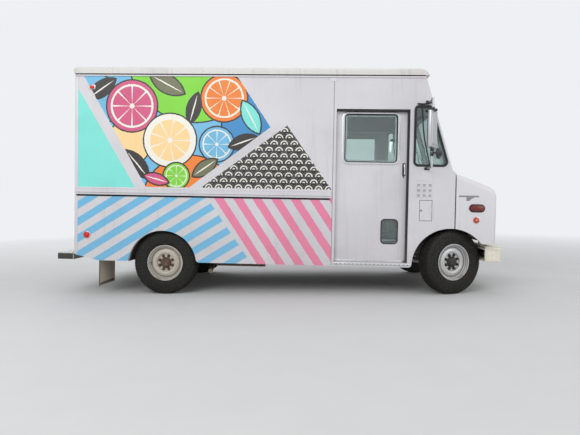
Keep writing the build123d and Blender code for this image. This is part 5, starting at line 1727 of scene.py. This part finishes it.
class FOODTRUCK_OT_rear_fittings(Operator):
    """Adds the rear doors' rubbers, lock rods, handles and hinge straps"""

    bl_idname = "foodtruck.rear_fittings"
    bl_label = "Rear fittings"

    def execute(self, context):
        face, near = BODY_REAR, 0.060
        seal = frame_of(grown(*REAR_GLASS, 0.05, 0.012), 0.024, 0, 0.010)
        placed(seal, shift(face - 0.001, 0, 0) @ QUARTER_TURN)
        settle_sides(seal, "rear_window_rubber", "black_rubber", body=REAR_DOOR)
        lock = [
            rod((face - 0.016, near, 0.760), (face - 0.016, near, 2.345), 0.009, 16),
            block((face - 0.010, 0.030, 1.26), (face + 0.001, 0.090, 1.40), 0.004),
            block((face - 0.040, 0.045, 1.318), (face - 0.026, 0.215, 1.342), 0.005, 3),
            rod((face - 0.002, near, 1.33), (face - 0.042, near, 1.33), 0.013, 20),
            pipe([
                (face - 0.002, 0.30, 1.12), (face - 0.045, 0.30, 1.13),
                (face - 0.050, 0.30, 1.25), (face - 0.045, 0.30, 1.37), (face - 0.002, 0.30, 1.38),
            ], 0.009, 4),
        ]
        for z in (0.80, 1.10, 1.66, 2.02, 2.30):
            low, high = (face - 0.028, 0.038, z - 0.018), (face + 0.001, 0.082, z + 0.018)
            lock.append(block(low, high, 0.004))
        settle_sides(lock, "rear_door_lock", "galvanised", body=REAR_DOOR)
        straps = [block((face - 0.004, 0.014, 0.735), (face + 0.001, 0.032, 2.365), 0.001)]
        heads = []
        for z in (0.92096, 1.551, 2.18104):
            low, high = (face - 0.006, 0.620, z - 0.022), (face + 0.001, 0.776, z + 0.022)
            straps.append(block(low, high, 0.002))
            heads += [(face - 0.006, y, z) for y in (0.645, 0.690, 0.735)]
        settle_sides(straps, "rear_door_straps", "white_paint", REAR_DOOR)
        bolts = rivet_row(heads, (-1, 0, 0), 0.009)
        settle_sides(bolts, "rear_door_strap_bolts", "bolt_steel", body=REAR_DOOR)
        return {"FINISHED"}


def high_lamp(y):
    """One of the small red lamps under the roof's rear edge."""
    low, high = (BODY_REAR - 0.018, y - 0.045, 2.500), (BODY_REAR - 0.001, y + 0.045, 2.545)
    return block(low, high, 0.007, 4)


class FOODTRUCK_OT_tail_lamps(Operator):
    """Adds the tail lamps' rims and lenses, the high lamps and the blank plate"""

    bl_idname = "foodtruck.tail_lamps"
    bl_label = "Tail lamps"

    def execute(self, context):
        face, y = BODY_REAR, 0.920
        lenses = [
            dome((face - 0.008, y, z), (-1, 0, 0), 0.048, 0.016, 36, 8)
            for z in (1.260, 1.130, 1.000)
        ]
        reds = [both([lenses[0], high_lamp(0.905), high_lamp(0.16)]), high_lamp(0)]
        settle(reds, "tail_lamp_lenses", "red_lens")
        settle(both(lenses[1]), "tail_turn_lenses", "amber_lens")
        settle(both(lenses[2]), "reversing_lenses", "clear_lens")
        rims = [
            ring((face - 0.010, y, z), (1, 0, 0), 0.0530, 0.0055, 40, 10)
            for z in (1.000, 1.130, 1.260)
        ]
        settle(both(rims), "tail_lamp_rims", "aluminium_trim")
        plate = [
            block((face - 0.009, 0.507, 0.566), (face - 0.005, 0.803, 0.709), 0.001),
            block((face - 0.010, 0.521, 0.580), (face - 0.008, 0.789, 0.695), 0.001),
        ]
        settle(plate, "blank_plate", "white_paint")
        holder = [
            block((face - 0.006, 0.497, 0.556), (face - 0.001, 0.813, 0.719), 0.002),
            block((face - 0.038, 0.610, 0.732), (face - 0.001, 0.700, 0.758), 0.006, 3),
        ]
        settle(holder, "plate_holder", "black_plastic")
        return {"FINISHED"}


class FOODTRUCK_OT_flap_fittings(Operator):
    """Adds the mud flaps' hangers and weights, and black strips of painted shade on their outer
    edges
    """

    bl_idname = "foodtruck.flap_fittings"
    bl_label = "Mud flap fittings"

    def execute(self, context):
        x = -0.802
        bars = [
            block((x - 0.012, 0.545, 0.600), (x + 0.010, 0.982, 0.645), 0.003),
            block((x - 0.008, 0.560, 0.085), (x + 0.008, 0.970, 0.115), 0.002),
        ]
        for y in (0.60, 0.70, 0.80, 0.90):
            bars.append(rod((x - 0.018, y, 0.622), (x + 0.014, y, 0.622), 0.009, 6, 0.001))
        settle(both(bars), "mud_flap_bars", "frame_paint")
        # Painted shade: a black strip along each flap's outer edge.
        edge = block((x - 0.0060, 0.9835, 0.072), (x + 0.0065, 0.9875, 0.648), 0.001)
        settle(both(edge), "mud_flap_edges", "black_rubber")
        return {"FINISHED"}


# Under the body


class FOODTRUCK_OT_wheel_liners(Operator):
    """Adds the rear arches' dark splash liners, which also stand for painted shade in and below the
    arches
    """

    bl_idname = "foodtruck.wheel_liners"
    bl_label = "Rear wheel liners"

    def execute(self, context):
        deselect()
        bpy.ops.mesh.primitive_circle_add(vertices=4, radius=1)
        piece = context.object
        x, z, lead = -0.020, 0.352, 0.08
        corners = ((0.560, 0.424), (0.990, 0.424), (0.990, 0.428), (0.560, 0.428))
        for vertex, (y, radius) in zip(piece.data.vertices, corners):
            vertex.co = (x + radius * math.cos(lead), y, z + radius * math.sin(lead))
        bpy.ops.object.mode_set(mode="EDIT")
        bpy.ops.mesh.select_all(action="SELECT")
        bpy.ops.mesh.edge_face_add()
        arch = math.pi - 2 * lead
        bpy.ops.mesh.spin(steps=40, angle=arch, center=(x, 0, z), axis=(0, 1, 0))
        bpy.ops.object.mode_set(mode="OBJECT")
        face_outwards(piece, 0.0001)
        # Real liners, whose dark also stands for painted shade round the rear tyres, below the
        # body's edge.
        settle(both(soften(piece, 0)), "rear_wheel_liners", "frame_paint")
        return {"FINISHED"}


class FOODTRUCK_OT_underbody(Operator):
    """Adds the springs' U bolts and clips, the tank straps, pipe clamps and rail bolts"""

    bl_idname = "foodtruck.underbody"
    bl_label = "Underbody fastenings"

    def execute(self, context):
        bolts = []
        for middle, z in ((0.0, 0.422), (3.3769, 0.462)):
            low, high = (middle - 0.07, 0.352, z - 0.066), (middle + 0.07, 0.444, z - 0.054)
            bolts.append(block(low, high, 0.002))
            for x, y in ((middle + off, y) for off in (-0.05, 0.05) for y in (0.361, 0.435)):
                bolts.append(rod((x, y, z - 0.075), (x, y, z + 0.075), 0.007, 10, 0))
                bolts.append(rod((x, y, z - 0.075), (x, y, z - 0.060), 0.013, 6, 0))
        for x in (-0.36, -0.22, 0.22, 0.36):
            bolts.append(block((x - 0.012, 0.358, 0.440), (x + 0.012, 0.438, 0.466), 0.002))
        for step in range(12):
            x = -1.00 + step * 0.36
            for z in (0.500, 0.610):
                bolts.append(rod((x, 0.4285, z), (x, 0.4385, z), 0.010, 6, 0))
        settle(both(bolts), "spring_and_rail_bolts", "bolt_steel")
        straps = [
            ring((x, -0.56, 0.40), (1, 0, 0), 0.0965, 0.004, 40, 8) for x in (0.62, 0.86, 1.10)
        ]
        for x in (1.56, 1.87):
            straps += [
                block((x - 0.022, -0.895, 0.396), (x + 0.022, -0.435, 0.4005), 0.001),
                block((x - 0.022, -0.8955, 0.396), (x + 0.022, -0.8895, 0.622), 0.001),
                rod((x, -0.905, 0.60), (x, -0.888, 0.60), 0.010, 12, 0),
            ]
        settle(straps, "tank_and_silencer_straps", "galvanised")
        return {"FINISHED"}


class FOODTRUCK_OT_rear_step(Operator):
    """Adds the rear step's tread plate, its grip ridges and end guards"""

    bl_idname = "foodtruck.rear_step"
    bl_label = "Rear step"

    def execute(self, context):
        tread = [block((-1.286, -1.036, 0.4745), (-1.112, 1.036, 0.4785), 0.001)]
        spots = []
        for row in range(4):
            x = -1.272 + row * 0.045
            spots += [(x + step % 2 * 0.012, -0.99 + step * 0.066, 0.4785) for step in range(31)]
        tread.append(rivet_row(spots, (0, 0, 1), 0.010))
        settle(tread, "rear_step_tread", "step_plate")
        guard = block((-1.294, 1.012, 0.402), (-1.112, 1.042, 0.472), 0.006)
        settle(both(guard), "rear_step_buffers", "black_rubber")
        return {"FINISHED"}


# Cab


class FOODTRUCK_OT_driver_seat(Operator):
    """Adds the driver seat's crowned cushions, piping, slides and belt"""

    bl_idname = "foodtruck.driver_seat"
    bl_label = "Driver's seat"

    def execute(self, context):
        for name, low, high, axis, rise in (
            ("seat_cushion", (2.470, 0.292, 1.120), (2.912, 0.768, 1.186), 2, 0.026),
            ("seat_back_cushion", (2.468, 0.292, 1.200), (2.512, 0.768, 1.735), 0, 0.030),
        ):
            piece = cushion(low, high, axis, rise)
            settle(piece, name, "seat_vinyl")
        piping = [
            loop_pipe((2.470, 0.292), (2.912, 0.768), 1.150, "z"),
            loop_pipe((0.292, 1.200), (0.768, 1.735), 2.490, "x"),
        ]
        settle(piping, "seat_piping", "seat_side")
        x, z = 2.935, 1.058
        lever = [(2.90, 0.36, 1.060), (x, 0.40, z), (x, 0.66, z), (2.90, 0.70, 1.060)]
        irons = [
            block((2.45, 0.335, 1.064), (2.88, 0.365, 1.082), 0.002),
            block((2.45, 0.695, 1.064), (2.88, 0.725, 1.082), 0.002),
            rod((2.66, 0.31, 1.060), (2.66, 0.75, 1.060), 0.010, 12),
            pipe(lever, 0.006, 3),
            rod((2.65, 0.53, 0.735), (2.65, 0.53, 0.99), 0.066, 32, 0.004),
            block((2.44, 0.765, 1.07), (2.60, 0.785, 1.15), 0.006),
        ]
        settle(irons, "seat_slides", "black_plastic")
        line = [(2.43, 0.80, 1.62), (2.47, 0.79, 1.40), (2.50, 0.79, 1.16), (2.52, 0.78, 1.06)]
        settle(pipe(line, 0.010, 2), "seat_belt", "black_rubber")
        return {"FINISHED"}


def cushion(low, high, axis, rise):
    """A stuffed pad between two corners, crowned and tufted on the face along one axis."""
    piece = block(low, high, 0.018, 3)
    apply_modifier(piece, "REMESH", mode="VOXEL", voxel_size=0.011)
    centre = [(a + b) / 2 for a, b in zip(low, high)]
    half = [abs(b - a) / 2 for a, b in zip(low, high)]
    others = [index for index in range(3) if index != axis]
    for vertex in piece.data.vertices:
        shares = [(vertex.co[index] - centre[index]) / half[index] for index in others]
        bulge = max(0.0, 1 - shares[0] ** 4) * max(0.0, 1 - shares[1] ** 4)
        tuft = 1 - 0.22 * (0.5 + 0.5 * math.cos(shares[0] * math.tau * 1.5))
        if vertex.co[axis] > centre[axis]:
            vertex.co[axis] += rise * bulge * tuft
    apply_modifier(piece, "SMOOTH", factor=0.5, iterations=6)
    return soften(piece, 0)


def loop_pipe(low, high, level, axis):
    """A closed cord round a rounded rectangle at one level."""
    points = rounded(low, high, 0.045, 4)
    points.append(points[0])
    path = [(a, b, level) if axis == "z" else (level, a, b) for a, b in points]
    return pipe(path, 0.005, 2)


class FOODTRUCK_OT_cab_controls(Operator):
    """Adds the gauges, switches, column levers, pedals, gear lever, engine cover clips and mats"""

    bl_idname = "foodtruck.cab_controls"
    bl_label = "Cab controls"

    def execute(self, context):
        rims, faces, needles = [], [], []
        slope = turn(-99, "Y")
        slope = shift(3.150, 0.560, 1.325) @ slope
        for y, radius in ((-0.145, 0.040), (-0.055, 0.045), (0.055, 0.045), (0.145, 0.040)):
            spot = slope @ shift(0.010, y, 0.0)
            rims.append(placed(ring((0, 0, 0.004), (0, 0, 1), radius, 0.005, 32, 8), spot))
            faces.append(placed(rod((0, 0, -0.01), (0, 0, 0.002), radius, 32, 0), spot))
            needle = block((-0.002, -0.002, 0.003), (radius * 0.8, 0.002, 0.0045), 0)
            needles.append(placed(needle, spot))
        for step in range(6):
            y = -0.14 + step * 0.05
            needles.append(placed(block((-0.055, y, 0), (-0.040, y + 0.02, 0.014), 0.002), slope))
        settle(rims, "gauge_rims", "chrome")
        settle(faces, "gauge_faces", "black_plastic")
        settle(needles, "gauge_needles_and_switches", "interior_white")
        levers = [
            pipe([(2.98, 0.20, 1.128), (2.95, 0.20, 1.28), (2.90, 0.21, 1.42)], 0.008, 3),
            dome((2.90, 0.21, 1.41), (-0.3, 0, 1), 0.026, 0.030, 20, 8),
            rod((3.03, 0.56, 1.50), (3.045, 0.42, 1.52), 0.006, 12),
            rod((3.03, 0.56, 1.50), (3.045, 0.70, 1.52), 0.006, 12),
        ]
        for y in (0.395, 0.455, 0.515):
            levers.append(pipe([(3.30, y, 1.02), (3.24, y, 0.94), (3.20, y, 0.84)], 0.008, 3))
            levers.append(block((3.175, y - 0.024, 0.775), (3.195, y + 0.024, 0.850), 0.006))
        settle(levers, "pedals_and_levers", "black_plastic")
        mats = []
        for start, end, near, far in ((2.40, 2.885, 0.385, 0.665), (2.905, 3.320, 0.370, 0.545)):
            mats.append(block((start, near, 0.7005), (end, far, 0.709), 0.003))
            for step in range(int((end - start - 0.03) / 0.06) + 1):
                x = start + 0.02 + step * 0.06
                mats.append(block((x, near + 0.02, 0.708), (x + 0.012, far - 0.02, 0.713), 0.001))
        settle(both(mats), "cab_mats", "black_rubber")
        clips = []
        for x in (2.98, 3.22):
            clips.append(block((x - 0.02, 0.3595, 0.80), (x + 0.02, 0.368, 0.88), 0.003))
            clips.append(rod((x, 0.362, 0.865), (x, 0.376, 0.865), 0.007, 12))
        clips = [both(clips)]
        for y in (-0.30, 0, 0.30):
            clips.append(block((2.93, y - 0.008, 1.1295), (3.33, y + 0.008, 1.136), 0.003))
        settle(clips, "engine_cover_clips", "aluminium_trim")
        return {"FINISHED"}


class FOODTRUCK_OT_steering_wheel_trim(Operator):
    """Adds the steering wheel's boss and grip beads"""

    bl_idname = "foodtruck.steering_wheel_trim"
    bl_label = "Steering wheel trim"

    def execute(self, context):
        place = turn(-55, "Y")
        place = shift(3.0399, 0.560, 1.500) @ place
        bead = rod((0, -0.012, 0), (0, 0.012, 0), 0.0158, 12, 0.003)
        trim = [
            rod((0, 0, -0.02), (0, 0, 0.020), 0.052, 32, 0.006, 0.042),
            rod((0, 0, 0.018), (0, 0, 0.026), 0.030, 32, 0.002),
            repeat(bead, [
                Matrix.Rotation(math.tau * step / 36, 4, "Z") @ shift(0.210, 0, 0)
                for step in range(36)
            ]),
        ]
        settle(trim, "steering_wheel_grips", "black_plastic", place=STANCE @ place)
        return {"FINISHED"}


# Kitchen


class FOODTRUCK_OT_cabinets(Operator):
    """Adds the counters' edges, cabinet doors and handles"""

    bl_idname = "foodtruck.cabinets"
    bl_label = "Kitchen cabinets"

    def execute(self, context):
        edge = block((-0.692, 0.503, 1.522), (1.112, 0.5155, 1.553))
        settle(both(edge), "counter_edges", "steel_sheet")
        doors, pulls, y = [], [], 0.513
        for low, high in ((-0.664, -0.120), (-0.112, 0.444), (0.478, 0.778), (0.786, 1.084)):
            start, end = (low + high) / 2 - 0.07, (low + high) / 2 + 0.07
            for bottom, top in ((0.716, 0.894), (0.926, 1.512)):
                inner = (low + 0.03, y - 0.019, bottom + 0.03), (high - 0.03, y - 0.014, top - 0.03)
                doors += [block((low, y - 0.016, bottom), (high, y, top)), block(*inner)]
                z = top - 0.055
                pulls.append(pipe([
                    (start, y - 0.016, z), (start, y - 0.045, z), (end, y - 0.045, z),
                    (end, y - 0.016, z),
                ], 0.005, 3))
        settle(both(doors), "cabinet_doors", "steel_sheet")
        settle(both(pulls), "cabinet_handles", "chrome")
        return {"FINISHED"}


class FOODTRUCK_OT_cooking_line(Operator):
    """Adds the burners, knobs, fryer baskets, hood filters and hood lamps"""

    bl_idname = "foodtruck.cooking_line"
    bl_label = "Cooking line"

    def execute(self, context):
        black, steel = [], []
        for x, y in ((x, y) for x in (0.050, 0.215, 0.380) for y in (-0.845, -0.665)):
            black.append(ring((x, y, 1.734), (0, 0, 1), 0.040, 0.008, 24, 8))
            black.append(rod((x, y, 1.726), (x, y, 1.736), 0.022, 20, 0.002))
            for angle in (0, 60, 120):
                bar = block((-0.078, -0.004, 1.740), (0.078, 0.004, 1.750), 0.002)
                place = shift(x, y, 0) @ turn(angle, "Z")
                black.append(placed(bar, place))
        for x in (-0.04, 0.06, 0.16, 0.26, 0.36, 0.46, 0.60, 0.74):
            black.append(rod((x, -0.536, 1.625), (x, -0.508, 1.625), 0.020, 24, 0.003, 0.017))
            black.append(block((x - 0.003, -0.512, 1.612), (x + 0.003, -0.502, 1.640), 0.001))
        settle(black, "burners_and_knobs", "black_plastic")
        for x in (0.585, 0.725):
            steel.append(frame_box((x, -0.90, 1.640), (x + 0.120, -0.62, 1.745)))
            line = [(x + 0.06, -0.625, 1.735), (x + 0.06, -0.56, 1.755), (x + 0.06, -0.47, 1.775)]
            steel.append(pipe(line, 0.006, 3))
        for step in range(4):
            x = -0.12 + step * 0.262
            steel.append(block((x, -0.955, 2.318), (x + 0.250, -0.56, 2.332), 0.003))
            for rib in range(6):
                low = x + 0.018 + rib * 0.038
                steel.append(block((low, -0.945, 2.310), (low + 0.012, -0.570, 2.322), 0.002))
        steel.append(rod((-0.10, -0.522, 1.590), (0.90, -0.522, 1.590), 0.010, 12))
        settle(steel, "baskets_and_filters", "chrome")
        lamps = [
            block((x - 0.12, -0.550, 2.300), (x + 0.12, -0.535, 2.325), 0.004) for x in (0.1, 0.7)
        ]
        settle(lamps, "hood_lamps", "interior_white")
        return {"FINISHED"}


def frame_box(low, high, wire=0.0025, rows=6, columns=5):
    """An open wire basket."""
    made = []
    for step in range(rows + 1):
        z = low[2] + (high[2] - low[2]) * step / rows
        near, far = low[1], high[1]
        loop = [(low[0], near, z), (high[0], near, z), (high[0], far, z), (low[0], far, z)]
        made += [rod(a, b, wire, 6, 0) for a, b in zip(loop, loop[1:] + loop[:1])]
    for step in range(columns + 1):
        x = low[0] + (high[0] - low[0]) * step / columns
        for y in (low[1], high[1]):
            made.append(rod((x, y, low[2]), (x, y, high[2]), wire, 6, 0))
        made.append(rod((x, low[1], low[2]), (x, high[1], low[2]), wire, 6, 0))
    return join(made)


class FOODTRUCK_OT_sink(Operator):
    """Adds the hand sink's rim, its tap and the ceiling lamps"""

    bl_idname = "foodtruck.sink"
    bl_label = "Sink and rail"

    def execute(self, context):
        rim = frame_of(rounded((0.52, 0.570), (0.98, 0.930), 0.05), 0.030, 0, 0.006)
        place = shift(0, 0, 1.553) @ turn(90, "X")
        settle(rim, "sink_rim", "steel_sheet", place=STANCE @ place)
        x, y = 0.75, 0.950
        spout = [(x, y, 1.575), (x, 0.945, 1.72), (x, 0.89, 1.765), (x, 0.83, 1.73)]
        tap = [
            rod((x, y, 1.552), (x, y, 1.580), 0.022, 24), pipe(spout, 0.009, 4),
            rod((x, 0.75, 1.551), (x, 0.75, 1.556), 0.030, 24, 0.001),
        ]
        for x in (0.69, 0.81):
            tap.append(rod((x, y, 1.552), (x, y, 1.600), 0.012, 16))
            tap.append(block((x - 0.025, 0.944, 1.600), (x + 0.025, 0.956, 1.608), 0.002))
        settle(tap, "sink_tap", "chrome")
        lamps = [
            block((x - 0.25, -0.06, 2.608), (x + 0.25, 0.06, 2.6185), 0.004)
            for x in (-0.6, 0.3, 1.2)
        ]
        settle(lamps, "ceiling_lamps", "interior_white")
        return {"FINISHED"}


class FOODTRUCK_OT_hatch_trim(Operator):
    """Adds the serving hatch's frame, opening rim, latches and grab handle"""

    bl_idname = "foodtruck.hatch_trim"
    bl_label = "Serving hatch trim"

    def execute(self, context):
        face = HALF_W + 0.0015
        rim = frame_of(rounded((-0.560, 1.550), (1.060, 2.310), 0.012, 3), 0.008, face, 0.006)
        settle(rim, "hatch_opening_rim", "aluminium_trim")
        edge = frame_of(rounded((-0.538, 1.576), (1.038, 2.270), 0.010, 3), 0.024, face, 0.005)
        y = HALF_W + 0.004
        heads = along((-0.50, y, 1.588), (1.00, y, 1.588), 0.1)
        heads += along((-0.50, y, 2.258), (1.00, y, 2.258), 0.1)
        frames = [edge, rivet_row(heads)]
        settle(frames, "hatch_frame", "aluminium_trim", body="serving_hatch")
        y, out = HALF_W, HALF_W + 0.034
        grip = [(0.15, y, 1.620), (0.15, out, 1.622), (0.35, out, 1.622), (0.35, y, 1.620)]
        locks = [pipe(grip, 0.007, 4)]
        for x in (-0.20, 0.70):
            locks += [
                block((x - 0.045, y + 0.003, 1.606), (x + 0.045, y + 0.012, 1.650), 0.004),
                rod((x, y + 0.010, 1.628), (x, y + 0.024, 1.628), 0.014, 24, 0.003),
                block((x - 0.006, y + 0.018, 1.608), (x + 0.006, y + 0.030, 1.648), 0.003),
            ]
        settle(locks, "hatch_locks", "chrome", body="serving_hatch")
        return {"FINISHED"}


class FOODTRUCK_OT_front_trim(Operator):
    """Adds the roof front's marker lamps and the nose grille's mesh and screws"""

    bl_idname = "foodtruck.front_trim"
    bl_label = "Front trim"

    def execute(self, context):
        lamps, rims = [], []
        x, z = screen_x(2.560) + 0.001, 2.560
        for y in (-0.86, -0.18, 0.0, 0.18, 0.86):
            spot = shift(x, y, z) @ Matrix.Rotation(-SCREEN_LEAN, 4, "Y")
            rims.append(placed(block((-0.001, -0.052, -0.022), (0.006, 0.052, 0.022), 0.003), spot))
            lamp = block((0.003, -0.045, -0.016), (0.024, 0.045, 0.016), 0.007, 4)
            lamps.append(placed(lamp, spot))
        settle(lamps, "roof_front_lamps", "amber_lens")
        settle(rims, "roof_front_lamp_rims", "aluminium_trim")
        x = 3.848
        wires = []
        for step in range(33):
            y = -0.49 + step * 0.98 / 32
            wires.append(rod((x, y, 0.812), (x, y, 1.158), 0.0022, 6, 0))
        for step in range(12):
            z = 0.825 + step * 0.0290
            wires.append(rod((x - 0.004, -0.505, z), (x - 0.004, 0.505, z), 0.0022, 6, 0))
        settle(wires, "grille_mesh", "frame_paint", body="nose")
        x = 3.8905
        heads = along((x, -0.505, 0.810), (x, 0.505, 0.810), 0.126)
        heads += along((x, -0.505, 1.160), (x, 0.505, 1.160), 0.126)
        heads = rivet_row(heads, (1, 0, 0), 0.007)
        settle(heads, "grille_screws", "bolt_steel", body="nose")
        return {"FINISHED"}


# Stage


CAMERA_AT = (1.767, -6.702, 1.103)
CAMERA_TURN = math.radians(-2.7066)
CAMERA_PITCH = math.radians(1.5221)
CAMERA_ROLL = math.radians(1.0268)
CAMERA_LENS = 29.95


class FOODTRUCK_OT_stage(Operator):
    """Adds the floor, the backdrop, the lights and the camera"""

    bl_idname = "foodtruck.stage"
    bl_label = "Stage"

    def execute(self, context):
        scene = context.scene
        deselect()
        bpy.ops.mesh.primitive_plane_add(size=120, location=(0, 0, 0))
        floor = context.object
        floor.name = "studio_floor"
        graph, shader = start_material("studio_floor")
        speckle = graph.noise(graph.place(), 3.0, 6)
        shade = graph.mix(speckle, (0.60, 0.60, 0.60), (0.64, 0.64, 0.635))
        graph.link(shade, shader.inputs["Base Color"])
        plain(shader, Roughness=0.9)
        away = graph.vector("LENGTH", graph.place())
        graph.link(graph.band(away, 4.5, 13.0, 1.0, 0.0), shader.inputs["Alpha"])
        floor.data.materials.append(MATERIALS["studio_floor"])

        world = bpy.data.worlds.new("studio")
        scene.world = world
        world.use_nodes = True
        graph = Graph(world.node_tree)
        back = world.node_tree.nodes["Background"]
        paths = graph.node("ShaderNodeLightPath")
        seen = graph.math("MAXIMUM", paths.outputs["Is Camera Ray"], paths.outputs["Is Glossy Ray"])
        seen = graph.math("MAXIMUM", seen, paths.outputs["Is Transmission Ray"])
        back.inputs["Color"].default_value = (0.93, 0.95, 0.98, 1)
        graph.link(graph.band(seen, 0, 1, 0.62, 0.92), back.inputs["Strength"])

        lights = (
            ("key_light", (-3.5, -9.0, 6.5), (0.6, 0, 1.1), 6.0, 420),
            ("fill_light", (7.5, -6.0, 3.5), (1.2, 0, 1.2), 5.0, 150),
            ("back_light", (-6.0, 7.0, 6.0), (0, 0, 1.2), 5.0, 190),
            ("top_light", (1.0, 0.0, 9.0), (0.2, 0, 0), 7.0, 130),
        )
        for name, place, target, size, power in lights:
            deselect()
            bpy.ops.object.light_add(type="AREA", location=place)
            light = context.object
            light.name = name
            light.data.size = size
            light.data.energy = power
            light.rotation_mode = "QUATERNION"
            light.rotation_quaternion = (Vector(target) - Vector(place)).to_track_quat("-Z", "Y")

        deselect()
        bpy.ops.object.camera_add()
        camera = context.object
        camera.name = "photo_camera"
        forward = Vector((
            math.sin(CAMERA_TURN) * math.cos(CAMERA_PITCH),
            math.cos(CAMERA_TURN) * math.cos(CAMERA_PITCH),
            -math.sin(CAMERA_PITCH),
        ))
        side = forward.cross(Vector((0, 0, 1))).normalized()
        over = side.cross(forward)
        right = side * math.cos(CAMERA_ROLL) + over * math.sin(CAMERA_ROLL)
        up = over * math.cos(CAMERA_ROLL) - side * math.sin(CAMERA_ROLL)
        turned = Matrix((right, up, -forward)).transposed().to_4x4()
        camera.matrix_world = STANCE @ Matrix.Translation(CAMERA_AT) @ turned
        camera.data.lens = CAMERA_LENS
        camera.data.sensor_width = 36
        camera.data.clip_end = 200
        scene.camera = camera
        scene.view_settings.view_transform = "Standard"
        return {"FINISHED"}


# Panel and run


OPERATORS = (
    FOODTRUCK_OT_finishes,
    FOODTRUCK_OT_gutters,
    FOODTRUCK_OT_side_seams,
    FOODTRUCK_OT_belt_trim,
    FOODTRUCK_OT_door_windows,
    FOODTRUCK_OT_door_fittings,
    FOODTRUCK_OT_quarter_windows,
    FOODTRUCK_OT_filler_and_vent,
    FOODTRUCK_OT_nose_trim,
    FOODTRUCK_OT_headlamps,
    FOODTRUCK_OT_wipers,
    FOODTRUCK_OT_front_bumper_trim,
    FOODTRUCK_OT_mirror_fittings,
    FOODTRUCK_OT_side_markers,
    FOODTRUCK_OT_tyres,
    FOODTRUCK_OT_wheel_fittings,
    FOODTRUCK_OT_rear_fittings,
    FOODTRUCK_OT_tail_lamps,
    FOODTRUCK_OT_flap_fittings,
    FOODTRUCK_OT_wheel_liners,
    FOODTRUCK_OT_underbody,
    FOODTRUCK_OT_rear_step,
    FOODTRUCK_OT_driver_seat,
    FOODTRUCK_OT_cab_controls,
    FOODTRUCK_OT_steering_wheel_trim,
    FOODTRUCK_OT_cabinets,
    FOODTRUCK_OT_cooking_line,
    FOODTRUCK_OT_sink,
    FOODTRUCK_OT_hatch_trim,
    FOODTRUCK_OT_front_trim,
    FOODTRUCK_OT_stage,
)


class FOODTRUCK_PT_panel(Panel):
    """Buttons that build the food truck's looks"""

    bl_label = "Food truck"
    bl_idname = "FOODTRUCK_PT_panel"
    bl_space_type = "VIEW_3D"
    bl_region_type = "UI"
    bl_category = "Food truck"

    def draw(self, context):
        for operator in OPERATORS:
            self.layout.operator(operator.bl_idname)
        for group in (context.scene.food_truck_colours, context.scene.food_truck_sizes):
            for setting in group.bl_rna.properties.keys():
                if setting not in ("rna_type", "name"):
                    self.layout.prop(group, setting)


CLASSES = (FoodTruckColours, FoodTruckSizes, *OPERATORS, FOODTRUCK_PT_panel)


def register():
    """Makes the settings, operators and panel known to Blender."""
    for item in CLASSES:
        bpy.utils.register_class(item)
    bpy.types.Scene.food_truck_colours = PointerProperty(type=FoodTruckColours)
    bpy.types.Scene.food_truck_sizes = PointerProperty(type=FoodTruckSizes)


def unregister():
    """Takes the settings, operators and panel away again."""
    del bpy.types.Scene.food_truck_colours
    del bpy.types.Scene.food_truck_sizes
    for item in reversed(CLASSES):
        bpy.utils.unregister_class(item)


def main():
    """Builds the looks in order."""
    register()
    for operator in OPERATORS:
        group, name = operator.bl_idname.split(".")
        getattr(getattr(bpy.ops, group), name)()


if __name__ == "__main__":
    main()
